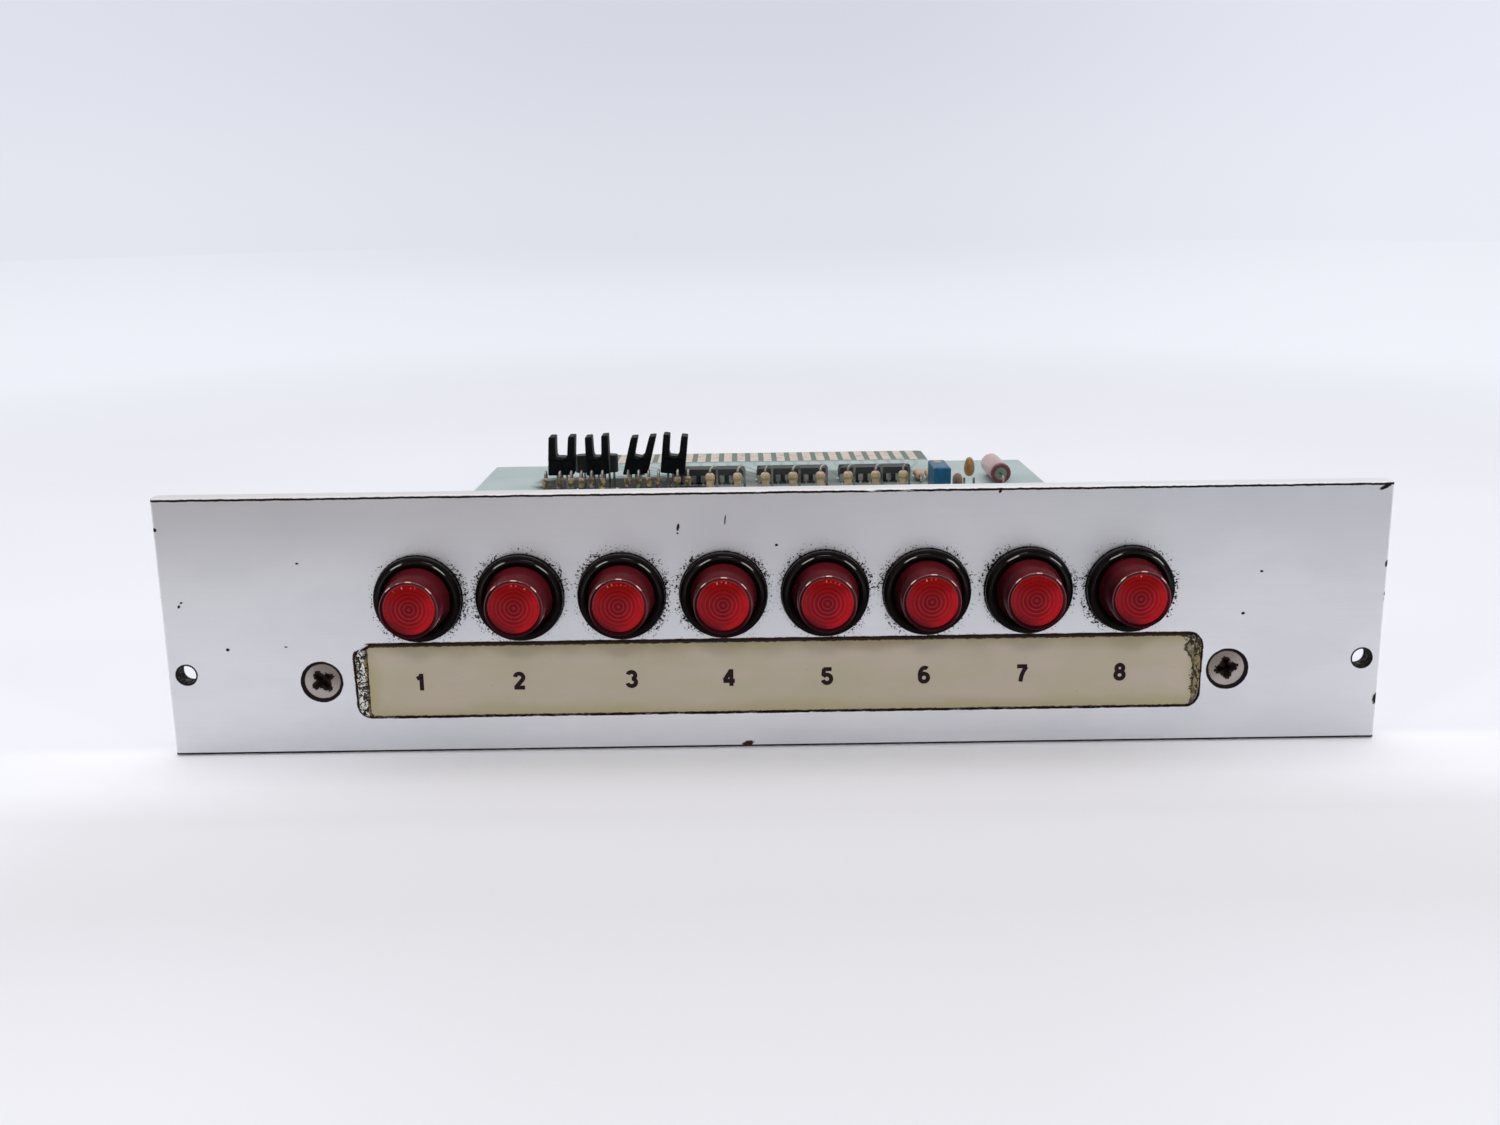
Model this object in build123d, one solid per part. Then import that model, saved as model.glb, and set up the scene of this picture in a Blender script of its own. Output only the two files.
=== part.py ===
"""Eight-lamp plug-in card: aluminium front panel, eight lamp units and a driver board with a card-edge tongue.

Millimetres. X runs along the panel, Y from the panel's rear face towards the card-edge tongue, Z up.
The origin is the middle of the two fixing holes, on the panel's rear face.
"""

from build123d import *
import math
import os

# ---------------------------------------------------------------- front panel
PANEL_WIDTH = 184.0
PANEL_HEIGHT = 40.0
PANEL_THICKNESS = 3.0
PANEL_EDGE_BREAK = 0.3
FIXING_HOLE_DIAMETER = 2.9
FIXING_HOLE_INSET = 2.8  # from each end of the panel
FIXING_HOLE_HEIGHT = 12.8  # above the panel's bottom edge
FIXING_HOLE_SPACING = PANEL_WIDTH - 2 * FIXING_HOLE_INSET
PANEL_BOTTOM = -FIXING_HOLE_HEIGHT
PANEL_FRONT = -PANEL_THICKNESS

# ---------------------------------------------------------------- label strip in its pocket
POCKET_LENGTH = 128.4
POCKET_HEIGHT = 11.65
POCKET_DEPTH = 0.6
POCKET_CORNER = 2.2
POCKET_MIDDLE_X = 0.55
POCKET_MIDDLE_HEIGHT = 11.32  # above the panel's bottom edge
STRIP_THICKNESS = 0.4
STRIP_END_GAP_LEFT = 1.85
STRIP_END_GAP_RIGHT = 0.35
STRIP_EDGE_GAP = 0.15
STRIP_CORNER_CUT = 0.8

# ---------------------------------------------------------------- M3 hardware
THREAD_RADIUS = 1.5
THREAD_PLAY = 0.05
SCREW_HOLE_PLAY = 0.15
NUT_ACROSS_FLATS = 5.5
NUT_THICKNESS = 2.4
COUNTERSUNK_HEAD_RADIUS = 2.75
COUNTERSINK_RADIUS = 3.2
PANEL_SCREW_LENGTH = 8.0
PANEL_SCREW_GAP = 4.6  # from the label pocket's ends to the screws' axes, on average
PANEL_SCREW_SPACING = POCKET_LENGTH + 2 * PANEL_SCREW_GAP
PANEL_SCREW_HEIGHT = 11.4  # above the panel's bottom edge
PAN_HEAD_RADIUS = 2.8
PAN_HEAD_HEIGHT = 2.0
BOARD_SCREW_LENGTH = 6.0
RECESS_WIDTH = 0.8
RECESS_SPAN = 2.9
RECESS_DEPTH = 1.3
LEFT_RECESS_TURN = 45.0
RIGHT_RECESS_TURN = 8.0

# ---------------------------------------------------------------- angle brackets under the board
BRACKET_WIDTH = 16.0
BRACKET_THICKNESS = 1.5
BRACKET_FOOT_LENGTH = 16.0
BRACKET_RISE_ABOVE_SCREW = 4.4
BOARD_SCREW_SPREAD = 8.0
BOARD_SCREW_SETBACK = 10.0

# ---------------------------------------------------------------- circuit board
BOARD_OVERHANG = 0.2  # past each bracket's outer edge
BOARD_WIDTH = PANEL_SCREW_SPACING + BRACKET_WIDTH + 2 * BOARD_OVERHANG
BOARD_THICKNESS = 1.6
BOARD_REACH = 214.5  # rear edge of the wide part, from the panel's rear face
BOARD_TOP_HEIGHT = 8.3  # component side above the panel's bottom edge
BOARD_FRONT_GAP = 0.3
BOARD_CORNER = 1.0
TONGUE_WIDTH = 99.0
TONGUE_LENGTH = 20.0
TONGUE_MIDDLE = 1.0
TONGUE_CORNER_CUT = 1.0
CONTACT_COUNT = 24
CONTACT_PITCH = 3.96
CONTACT_WIDTH = 2.4
CONTACT_LENGTH = 16.0
CONTACT_THICKNESS = 0.1
CONTACT_SETBACK = 0.8
BOARD_TOP = PANEL_BOTTOM + BOARD_TOP_HEIGHT
BOARD_BOTTOM = BOARD_TOP - BOARD_THICKNESS
BOARD_FRONT = BRACKET_THICKNESS + BOARD_FRONT_GAP

# ---------------------------------------------------------------- leads and solder
LEAD_RADIUS = 0.3
LEAD_TAIL = 0.9  # below the board
SOLDER_RADIUS = 0.95
SOLDER_TIP_RADIUS = 0.45
SOLDER_HEIGHT = 0.6

# ---------------------------------------------------------------- lamp units
LAMP_COUNT = 8
LAMP_PITCH = 15.24
LAMP_HEIGHT = 24.3  # axis above the panel's bottom edge
HOLDER_BARREL_RADIUS = 5.6
HOLDER_HOLE_PLAY = 0.1
BEZEL_RADIUS = 6.55
BEZEL_STAND = 1.8
BEZEL_ROUND = 1.1
SEAT_DEPTH = 1.0
SLIDING_PLAY = 0.05
BARREL_LENGTH = 14.0  # behind the panel
SOCKET_START = 12.0
SOCKET_DEPTH = 5.0
HOLDER_LENGTH = 20.0
HOLDER_REAR_RADIUS = 4.6
LAMP_NUT_ACROSS_FLATS = 13.0
LAMP_NUT_THICKNESS = 2.5
LAMP_WASHER_THICKNESS = 0.6
LAMP_WASHER_RADIUS = 6.9

LENS_BASE_RADIUS = 5.0
LENS_FRONT_RADIUS = 4.3
LENS_STAND = 7.1  # front face ahead of the panel
LENS_EDGE_ROUND = 0.6
LENS_WALL = 1.2
LENS_BORE_RADIUS = 3.6
SKIRT_RADIUS = 4.5
SKIRT_LENGTH = 8.0

BULB_BASE_RADIUS = 2.9
BULB_COLLAR_RADIUS = 3.4
BULB_COLLAR_THICKNESS = 0.8
BULB_GLASS_RADIUS = 2.75
BULB_GLASS_LENGTH = 10.5

TERMINAL_WIDTH = 2.4
TERMINAL_THICKNESS = 0.5
TERMINAL_LENGTH = 7.0
TERMINAL_OFFSET = 2.2
TERMINAL_EYE_RADIUS = 0.6
LAMP_WIRE_RADIUS = 0.6
LAMP_WIRE_REACH = 9.0
LAMP_WIRE_BEND = 5.0
BUS_WIRE_RADIUS = 0.4
BUS_WIRE_GAP = 0.05
BUS_WIRE_OVERHANG = 10.0
BUS_WIRE_BEND = 4.0

# ---------------------------------------------------------------- driver transistors and their heat sinks
TRANSISTOR_RADIUS = 2.4
TRANSISTOR_FLAT = 1.7
TRANSISTOR_HEIGHT = 4.6
TRANSISTOR_LEG_PITCH = 1.27
TRANSISTOR_CLEARANCE = 5.5  # body above the board
SINK_Y = 169.0
SINK_DEPTH = 6.0
SINK_BASE_HEIGHT = 4.2
SINK_PRONG_WIDTH = 1.9
SINK_PRONG_HEIGHT = 5.9
SINK_BORE_PLAY = 0.1
SINK_X = (-52.3, -42.6, -32.8, -23.0)
SINK_LEAN = (3.0, -0.5, 14.0, 6.0)  # degrees towards +X
SINK_WIDTH = (6.8, 6.0, 6.3, 6.4)
BARE_TRANSISTOR_X = (-47.0, -40.4)
BARE_TRANSISTOR_Y = 176.0
BARE_TRANSISTOR_CLEARANCE = 4.7

# ---------------------------------------------------------------- integrated circuits
CIRCUIT_WIDTH = 6.35
CIRCUIT_HEIGHT = 3.5
CIRCUIT_CLEARANCE = 0.6
CIRCUIT_OVERHANG = 0.75  # body beyond its end pins
CIRCUIT_NOTCH_RADIUS = 1.0
PIN_PITCH = 2.54
PIN_ROW_OFFSET = 3.81
PIN_WIDTH = 1.3
PIN_TIP_WIDTH = 0.5
PIN_THICKNESS = 0.25
REAR_CIRCUIT_Y = 183.4
REAR_CIRCUIT_X = (-14.0, 8.9, 31.4)
REAR_PIN_COUNT = 16
FRONT_CIRCUIT_Y = 96.0
FRONT_CIRCUIT_X = (-26.0, 26.0)
FRONT_PIN_COUNT = 14

# ---------------------------------------------------------------- resistors and diodes
CHANNEL_RESISTOR_Y = 147.0
CHANNEL_RESISTOR_START = -12.7
CHANNEL_RESISTOR_PITCH = 6.9
CHANNEL_RESISTOR_RADIUS = 1.15
CHANNEL_RESISTOR_LENGTH = 8.0
BIAS_RESISTOR_Y = 157.0
BIAS_RESISTOR_X = (-55.2, -51.5, -48.6, -46.0, -43.4, -40.6, -34.0, -31.3, -28.7, -26.2, -21.3, -18.6)
BIAS_RESISTOR_RADIUS = 0.95
BIAS_RESISTOR_LENGTH = 5.6
STANDING_CLEARANCE = 0.8
STANDING_LOOP = 2.7  # between a standing resistor's two holes
RESISTOR_CAP_LENGTH = 1.6
RESISTOR_WAIST = 0.82  # waist radius as a share of the end caps
DROPPER_ROWS = (52.0, 122.0)
DROPPER_RADIUS = 1.25
DROPPER_LENGTH = 6.5
DROPPER_SPAN = 12.0
SUPPLY_RESISTOR_X = (43.8, 46.9)
SUPPLY_RESISTOR_Y = 183.4
DIODE_Y = 52.0
DIODE_OFFSET = 5.0  # right of its lamp's axis
DIODE_RADIUS = 1.0
DIODE_LENGTH = 4.4
DIODE_SPAN = 10.0
LYING_GAP = 0.3  # under a lying body

# ---------------------------------------------------------------- trimmer and capacitors
TRIMMER_X = 44.9
TRIMMER_Y = 149.0
TRIMMER_WIDTH = 4.2
TRIMMER_DEPTH = 12.0
TRIMMER_HEIGHT = 9.6
TRIMMER_CLEARANCE = 0.4
TRIMMER_SCREW_RADIUS = 1.2
TRIMMER_SCREW_LENGTH = 3.0
TRIMMER_SCREW_SETBACK = 2.2  # screw axis from the body's rear face
TRIMMER_SLOT_WIDTH = 0.5
TRIMMER_SLOT_DEPTH = 0.7
TRIMMER_LEG_PITCH = 2.54

TANTALUM_X = 55.2
TANTALUM_Y = 167.0
TANTALUM_RADIUS = 1.4
TANTALUM_HEIGHT = 5.5
TANTALUM_CLEARANCE = 3.2
TANTALUM_LEG_PITCH = 2.54

AXIAL_X = 64.8
AXIAL_START_Y = 173.5
AXIAL_LENGTH = 17.5
AXIAL_RADIUS = 2.75
AXIAL_LEAD_REACH = 3.5
AXIAL_END_ROUND = 0.5

RESERVOIR_PLACES = ((-60.0, 78.0), (60.0, 78.0))
RESERVOIR_RADIUS = 5.0
RESERVOIR_HEIGHT = 15.5
RESERVOIR_CLEARANCE = 0.4
RESERVOIR_LEG_PITCH = 5.0
RESERVOIR_GROOVE = 0.4

DISC_PLACES = ((50.7, 157.0), (-40.0, 96.0), (12.0, 96.0), (40.0, 96.0), (-12.0, 96.0))
DISC_RADIUS = 2.5
DISC_THICKNESS = 2.2
DISC_CLEARANCE = 1.2
DISC_LEG_PITCH = 2.54
DISC_EDGE_ROUND = 0.7


# ================================================================ shared helpers
parts = {}  # node name: list of solids
leads = []  # every bare component lead above the board
pads = []  # (x, y) of every soldered lead


def add(node, *solids):
    """Add solids to a node."""
    parts.setdefault(node, []).extend(solid.solid() for solid in solids)


def block(x, y, z):
    """A box between two corners given as (low, high) along each axis."""
    return Pos(x[0], y[0], z[0]) * Box(
        x[1] - x[0], y[1] - y[0], z[1] - z[0], align=(Align.MIN, Align.MIN, Align.MIN)
    )


def around(middle, size):
    """Low and high of a span of this size about its middle."""
    return middle - size / 2, middle + size / 2


def upright(radius, x, y, z):
    """A cylinder along Z between z's low and high."""
    return Pos(x, y, z[0]) * Cylinder(radius, z[1] - z[0], align=(Align.CENTER, Align.CENTER, Align.MIN))


def drilled(radius, x, z, y):
    """A cylinder along Y between y's low and high."""
    turned_up = Cylinder(radius, y[1] - y[0], align=(Align.CENTER, Align.CENTER, Align.MIN))
    return Pos(x, y[0], z) * Rot(-90, 0, 0) * turned_up


def turned(profile, rounds=()):
    """A solid of revolution about Y from (radius, y) points; rounds holds (point, radius) pairs."""
    face = make_face(Polyline(*profile, close=True))
    for point, radius in rounds:
        corner = face.vertices().sort_by_distance((*point, 0))[0]
        face = fillet(corner, radius)
    return revolve(face, Axis.Y)


def hexagon(across_flats, thickness, bore_radius):
    """A plain hexagon nut along Z, standing on z = 0, with flats towards +Y and -Y."""
    outline = RegularPolygon(across_flats / 2, 6, major_radius=False) - Circle(bore_radius)
    return extrude(outline, thickness)


def bent_wire(points, radius, bend):
    """Round wire along straight runs joined by arcs."""
    path = FilletPolyline(*points, radius=bend)
    return sweep(Plane(path @ 0, z_dir=path % 0) * Circle(radius), path=path)


def straight_lead(x, y, top):
    """A lead from a body straight down to its pad."""
    pads.append((x, y))
    leads.append(upright(LEAD_RADIUS, x, y, (BOARD_TOP, top)))


def bent_lead(start, x, y, bend):
    """A lead that leaves a body level at start and turns down to its pad at (x, y)."""
    pads.append((x, y))
    leads.append(bent_wire([start, (x, y, start[2]), (x, y, BOARD_TOP)], LEAD_RADIUS, bend))


def cross_recess(turn):
    """The cutter for a cross recess that opens upwards at z = 0."""
    arm = Box(RECESS_SPAN, RECESS_WIDTH, 2 * RECESS_DEPTH)
    cross = arm + Rot(0, 0, 90) * arm
    taper = Cone(RECESS_SPAN / 8, RECESS_SPAN / 2, RECESS_DEPTH, align=(Align.CENTER, Align.CENTER, Align.MAX))
    return Rot(0, 0, turn) * (cross & taper)


def lamp_places():
    """The lamps' X positions, left to right."""
    return [(index - (LAMP_COUNT - 1) / 2) * LAMP_PITCH for index in range(LAMP_COUNT)]


LAMP_Z = PANEL_BOTTOM + LAMP_HEIGHT
PANEL_SCREW_Z = PANEL_BOTTOM + PANEL_SCREW_HEIGHT
SCREW_HOLE_RADIUS = THREAD_RADIUS + SCREW_HOLE_PLAY
COUNTERSUNK_HEAD_HEIGHT = COUNTERSUNK_HEAD_RADIUS - THREAD_RADIUS
HEAD_SINK = COUNTERSINK_RADIUS - COUNTERSUNK_HEAD_RADIUS
BEZEL_FRONT = PANEL_FRONT - BEZEL_STAND
SEAT = BEZEL_FRONT + SEAT_DEPTH


# ================================================================ front panel and its hardware
def front_panel():
    """The plate with its lamp holes, countersunk screw holes, fixing holes and label pocket."""
    through = (PANEL_FRONT - 1, 1)
    plate = block(around(0, PANEL_WIDTH), (PANEL_FRONT, 0), (PANEL_BOTTOM, PANEL_BOTTOM + PANEL_HEIGHT))
    plate = chamfer(plate.faces().sort_by(Axis.Y)[0].edges(), PANEL_EDGE_BREAK)
    for side in (-1, 1):
        plate -= drilled(FIXING_HOLE_DIAMETER / 2, side * FIXING_HOLE_SPACING / 2, 0, through)
        screw_x = side * PANEL_SCREW_SPACING / 2
        plate -= drilled(SCREW_HOLE_RADIUS, screw_x, PANEL_SCREW_Z, through)
        countersink = turned([
            (0, PANEL_FRONT),
            (COUNTERSINK_RADIUS, PANEL_FRONT),
            (SCREW_HOLE_RADIUS, PANEL_FRONT + COUNTERSINK_RADIUS - SCREW_HOLE_RADIUS),
            (0, PANEL_FRONT + COUNTERSINK_RADIUS - SCREW_HOLE_RADIUS),
        ])
        plate -= Pos(screw_x, 0, PANEL_SCREW_Z) * countersink
    for x in lamp_places():
        plate -= drilled(HOLDER_BARREL_RADIUS + HOLDER_HOLE_PLAY, x, LAMP_Z, through)
    pocket_place = (POCKET_MIDDLE_X, PANEL_FRONT, PANEL_BOTTOM + POCKET_MIDDLE_HEIGHT)
    pocket_plane = Plane(pocket_place, x_dir=(1, 0, 0), z_dir=(0, -1, 0))
    pocket = pocket_plane * RectangleRounded(POCKET_LENGTH, POCKET_HEIGHT, POCKET_CORNER)
    return plate - extrude(pocket, -POCKET_DEPTH)


def label_strip():
    """The numbered strip, shorter than its pocket, with its left corners cut and its right ones round."""
    length = POCKET_LENGTH - STRIP_END_GAP_LEFT - STRIP_END_GAP_RIGHT
    height = POCKET_HEIGHT - 2 * STRIP_EDGE_GAP
    middle_x = POCKET_MIDDLE_X + (STRIP_END_GAP_LEFT - STRIP_END_GAP_RIGHT) / 2
    place = (middle_x, PANEL_FRONT + POCKET_DEPTH, PANEL_BOTTOM + POCKET_MIDDLE_HEIGHT)
    back = Plane(place, x_dir=(1, 0, 0), z_dir=(0, -1, 0))
    strip = extrude(back * Rectangle(length, height), STRIP_THICKNESS)
    corners = strip.edges().filter_by(Axis.Y).sort_by(Axis.X)
    right_round = POCKET_CORNER - min(STRIP_EDGE_GAP, STRIP_END_GAP_RIGHT)
    strip = fillet(corners[2:], right_round)
    corners = strip.edges().filter_by(Axis.Y).sort_by(Axis.X)
    return chamfer(corners[:2], STRIP_CORNER_CUT)


def panel_screw(turn):
    """A countersunk screw along Y, its head sunk under the panel's face, at x = z = 0."""
    head_top = PANEL_FRONT + HEAD_SINK
    screw = turned([
        (0, head_top),
        (COUNTERSUNK_HEAD_RADIUS, head_top),
        (THREAD_RADIUS, head_top + COUNTERSUNK_HEAD_HEIGHT),
        (THREAD_RADIUS, head_top + PANEL_SCREW_LENGTH),
        (0, head_top + PANEL_SCREW_LENGTH),
    ])
    return screw - Pos(0, head_top, 0) * Rot(90, 0, 0) * cross_recess(turn)


def panel_hardware():
    """The two countersunk screws and the nuts that clamp the brackets to the panel."""
    for side, turn in ((-1, LEFT_RECESS_TURN), (1, RIGHT_RECESS_TURN)):
        x = side * PANEL_SCREW_SPACING / 2
        add("panel_screws", Pos(x, 0, PANEL_SCREW_Z) * panel_screw(turn))
        nut = hexagon(NUT_ACROSS_FLATS, NUT_THICKNESS, THREAD_RADIUS + THREAD_PLAY)
        add("nuts", Pos(x, BRACKET_THICKNESS, PANEL_SCREW_Z) * Rot(-90, 0, 0) * nut)


def angle_bracket(x):
    """An angle with one leg on the panel and the other under the board."""
    foot = (BOARD_BOTTOM - BRACKET_THICKNESS, BOARD_BOTTOM)
    leg = (foot[0], PANEL_SCREW_Z + BRACKET_RISE_ABOVE_SCREW)
    span = around(x, BRACKET_WIDTH)
    angle = block(span, (0, BRACKET_THICKNESS), leg) + block(span, (0, BRACKET_FOOT_LENGTH), foot)
    angle -= drilled(SCREW_HOLE_RADIUS, x, PANEL_SCREW_Z, (-1, BRACKET_THICKNESS + 1))
    for offset in around(0, BOARD_SCREW_SPREAD):
        angle -= upright(SCREW_HOLE_RADIUS, x + offset, BOARD_SCREW_SETBACK, (foot[0] - 1, foot[1] + 1))
    return angle


def board_screw_places():
    """Where the board is screwed to the brackets."""
    middles = around(0, PANEL_SCREW_SPACING)
    return [(middle + offset, BOARD_SCREW_SETBACK) for middle in middles for offset in around(0, BOARD_SCREW_SPREAD)]


def board_hardware():
    """The angle brackets, and a pan-head screw and nut at each of the board's fixings."""
    for x in around(0, PANEL_SCREW_SPACING):
        add("angle_brackets", angle_bracket(x))
    nut_top = BOARD_BOTTOM - BRACKET_THICKNESS
    for x, y in board_screw_places():
        head = upright(PAN_HEAD_RADIUS, x, y, (BOARD_TOP, BOARD_TOP + PAN_HEAD_HEIGHT))
        head = fillet(head.faces().sort_by(Axis.Z)[-1].edges(), PAN_HEAD_HEIGHT * 0.4)
        shank = upright(THREAD_RADIUS, x, y, (BOARD_TOP - BOARD_SCREW_LENGTH, BOARD_TOP))
        recess = Pos(x, y, BOARD_TOP + PAN_HEAD_HEIGHT) * cross_recess(x)
        add("board_screws", head + shank - recess)
        nut = hexagon(NUT_ACROSS_FLATS, NUT_THICKNESS, THREAD_RADIUS + THREAD_PLAY)
        add("nuts", Pos(x, y, nut_top - NUT_THICKNESS) * nut)


# ================================================================ lamp units
def lamp_holder():
    """The moulded holder: bezel, barrel, bulb socket and closed rear end, about Y at x = z = 0."""
    bore = SKIRT_RADIUS + SLIDING_PLAY
    seat = LENS_BASE_RADIUS + SLIDING_PLAY
    socket = BULB_BASE_RADIUS + SLIDING_PLAY
    profile = [
        (seat, BEZEL_FRONT),
        (BEZEL_RADIUS, BEZEL_FRONT),
        (BEZEL_RADIUS, PANEL_FRONT),
        (HOLDER_BARREL_RADIUS, PANEL_FRONT),
        (HOLDER_BARREL_RADIUS, BARREL_LENGTH),
        (HOLDER_REAR_RADIUS, BARREL_LENGTH),
        (HOLDER_REAR_RADIUS, HOLDER_LENGTH),
        (0, HOLDER_LENGTH),
        (0, SOCKET_START + SOCKET_DEPTH),
        (socket, SOCKET_START + SOCKET_DEPTH),
        (socket, SOCKET_START),
        (bore, SOCKET_START),
        (bore, SEAT),
        (seat, SEAT),
    ]
    return turned(profile, rounds=[((BEZEL_RADIUS, BEZEL_FRONT), BEZEL_ROUND)])


def lens_cap():
    """The pull-off lens: tapered front, a base that sits in the bezel and a skirt in the barrel."""
    front = PANEL_FRONT - LENS_STAND
    profile = [
        (0, front),
        (LENS_FRONT_RADIUS, front),
        (LENS_BASE_RADIUS, BEZEL_FRONT),
        (LENS_BASE_RADIUS, SEAT),
        (SKIRT_RADIUS, SEAT),
        (SKIRT_RADIUS, SEAT + SKIRT_LENGTH),
        (LENS_BORE_RADIUS, SEAT + SKIRT_LENGTH),
        (LENS_BORE_RADIUS, front + LENS_WALL),
        (0, front + LENS_WALL),
    ]
    return turned(profile, rounds=[((LENS_FRONT_RADIUS, front), LENS_EDGE_ROUND)])


def bulb():
    """A small bulb: metal base in the socket, collar on the socket's mouth and a domed glass envelope."""
    collar_front = SOCKET_START - BULB_COLLAR_THICKNESS
    tip = collar_front - BULB_GLASS_LENGTH
    profile = [
        (0, tip),
        (BULB_GLASS_RADIUS, tip),
        (BULB_GLASS_RADIUS, collar_front),
        (BULB_COLLAR_RADIUS, collar_front),
        (BULB_COLLAR_RADIUS, SOCKET_START),
        (BULB_BASE_RADIUS, SOCKET_START),
        (BULB_BASE_RADIUS, SOCKET_START + SOCKET_DEPTH),
        (0, SOCKET_START + SOCKET_DEPTH),
    ]
    return turned(profile, rounds=[((BULB_GLASS_RADIUS, tip), BULB_GLASS_RADIUS * 0.95)])


def lamp_terminal(x, z):
    """A solder tab behind the holder, with its wire eye."""
    eye = HOLDER_LENGTH + TERMINAL_LENGTH - 2 * TERMINAL_EYE_RADIUS - TERMINAL_THICKNESS
    y = (HOLDER_LENGTH, HOLDER_LENGTH + TERMINAL_LENGTH)
    tab = block(around(x, TERMINAL_WIDTH), y, around(z, TERMINAL_THICKNESS))
    return tab - upright(TERMINAL_EYE_RADIUS, x, eye, around(z, 2 * TERMINAL_THICKNESS))


def lamp_units():
    """Every lamp unit: holder, lens cap, bulb, washer, nut, two tabs and the wire to the board."""
    holder = lamp_holder()
    cap = lens_cap()
    glass = bulb()
    barrel_play = HOLDER_BARREL_RADIUS + THREAD_PLAY
    washer = extrude(Circle(LAMP_WASHER_RADIUS) - Circle(barrel_play), LAMP_WASHER_THICKNESS)
    nut = hexagon(LAMP_NUT_ACROSS_FLATS, LAMP_NUT_THICKNESS, barrel_play)
    tab_end = HOLDER_LENGTH + TERMINAL_LENGTH
    wire_y = tab_end + LAMP_WIRE_REACH
    for number, x in enumerate(lamp_places(), start=1):
        place = Pos(x, 0, LAMP_Z)
        add(f"lamp_holder_{number}", place * holder)
        add(f"lens_cap_{number}", place * cap)
        add(f"bulb_{number}", place * glass)
        add("lamp_washers", place * Rot(-90, 0, 0) * washer)
        add("lamp_nuts", place * Pos(0, LAMP_WASHER_THICKNESS, 0) * Rot(-90, 0, 0) * nut)
        for offset in (-TERMINAL_OFFSET, TERMINAL_OFFSET):
            add("lamp_terminals", lamp_terminal(x, LAMP_Z + offset))
        start_z = LAMP_Z - TERMINAL_OFFSET
        route = [(x, tab_end, start_z), (x, wire_y, start_z), (x, wire_y, BOARD_TOP)]
        add("lamp_wires", bent_wire(route, LAMP_WIRE_RADIUS, LAMP_WIRE_BEND))
        pads.append((x, wire_y))
    bus_y = tab_end + BUS_WIRE_GAP + BUS_WIRE_RADIUS
    bus_z = LAMP_Z + TERMINAL_OFFSET
    bus_start = lamp_places()[0] - TERMINAL_WIDTH
    bus_end = lamp_places()[-1] + BUS_WIRE_OVERHANG
    route = [(bus_start, bus_y, bus_z), (bus_end, bus_y, bus_z), (bus_end, bus_y, BOARD_TOP)]
    add("bus_wire", bent_wire(route, BUS_WIRE_RADIUS, BUS_WIRE_BEND))
    pads.append((bus_end, bus_y))


# ================================================================ board components
def transistor_body(x, y, bottom):
    """A moulded transistor body, round with one flat side towards the panel."""
    body = upright(TRANSISTOR_RADIUS, x, y, (bottom, bottom + TRANSISTOR_HEIGHT))
    keep = block(around(x, 4 * TRANSISTOR_RADIUS), (y - TRANSISTOR_FLAT, y + 2 * TRANSISTOR_RADIUS),
                 (bottom, bottom + TRANSISTOR_HEIGHT))
    return body & keep


def transistor(x, y, clearance, lean=0.0):
    """A transistor that stands on three leads; its body leans about the top of its middle lead."""
    bottom = BOARD_TOP + clearance
    tilt = Pos(x, y, bottom) * Rot(0, lean, 0) * Pos(-x, -y, -bottom)
    add("driver_transistors", tilt * transistor_body(x, y, bottom))
    for step in (-1, 0, 1):
        leg_x = x + step * TRANSISTOR_LEG_PITCH
        slope = math.tan(math.radians(max(0.0, step * lean)))
        straight_lead(leg_x, y, bottom - TRANSISTOR_LEG_PITCH * slope - LEAD_RADIUS * math.tan(math.radians(abs(lean))))


def heat_sink(x, y, width, lean):
    """A black clip-on heat sink: a collar round the transistor with two upright prongs."""
    bottom = BOARD_TOP + TRANSISTOR_CLEARANCE
    base_top = bottom + SINK_BASE_HEIGHT
    prong_top = base_top + SINK_PRONG_HEIGHT
    sink = block(around(x, width), around(y, SINK_DEPTH), (bottom, base_top))
    for side in (-1, 1):
        prong_x = x + side * (width - SINK_PRONG_WIDTH) / 2
        sink += block(around(prong_x, SINK_PRONG_WIDTH), around(y, SINK_DEPTH), (bottom, prong_top))
    sink -= upright(TRANSISTOR_RADIUS + SINK_BORE_PLAY, x, y, (bottom - 1, bottom + TRANSISTOR_HEIGHT + 1))
    return Pos(x, y, bottom) * Rot(0, lean, 0) * Pos(-x, -y, -bottom) * sink


def drivers():
    """Four driver transistors in heat sinks and two bare ones behind them."""
    for number, (x, width, lean) in enumerate(zip(SINK_X, SINK_WIDTH, SINK_LEAN), start=1):
        transistor(x, SINK_Y, TRANSISTOR_CLEARANCE, lean)
        add(f"heat_sink_{number}", heat_sink(x, SINK_Y, width, lean))
    for x in BARE_TRANSISTOR_X:
        transistor(x, BARE_TRANSISTOR_Y, BARE_TRANSISTOR_CLEARANCE)


def circuit_pin():
    """One pin of an integrated circuit: a shoulder out of the body, a blade and a tip on its pad."""
    side = CIRCUIT_WIDTH / 2
    shoulder_z = CIRCUIT_CLEARANCE + CIRCUIT_HEIGHT / 2
    blade_y = around(PIN_ROW_OFFSET, PIN_THICKNESS)
    shoulder = block(around(0, PIN_WIDTH), (side, blade_y[1]), around(shoulder_z, PIN_THICKNESS))
    blade = block(around(0, PIN_WIDTH), blade_y, (CIRCUIT_CLEARANCE, shoulder_z + PIN_THICKNESS / 2))
    tip = block(around(0, PIN_TIP_WIDTH), blade_y, (0, shoulder_z))
    return (shoulder + blade + tip).solid()


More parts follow.
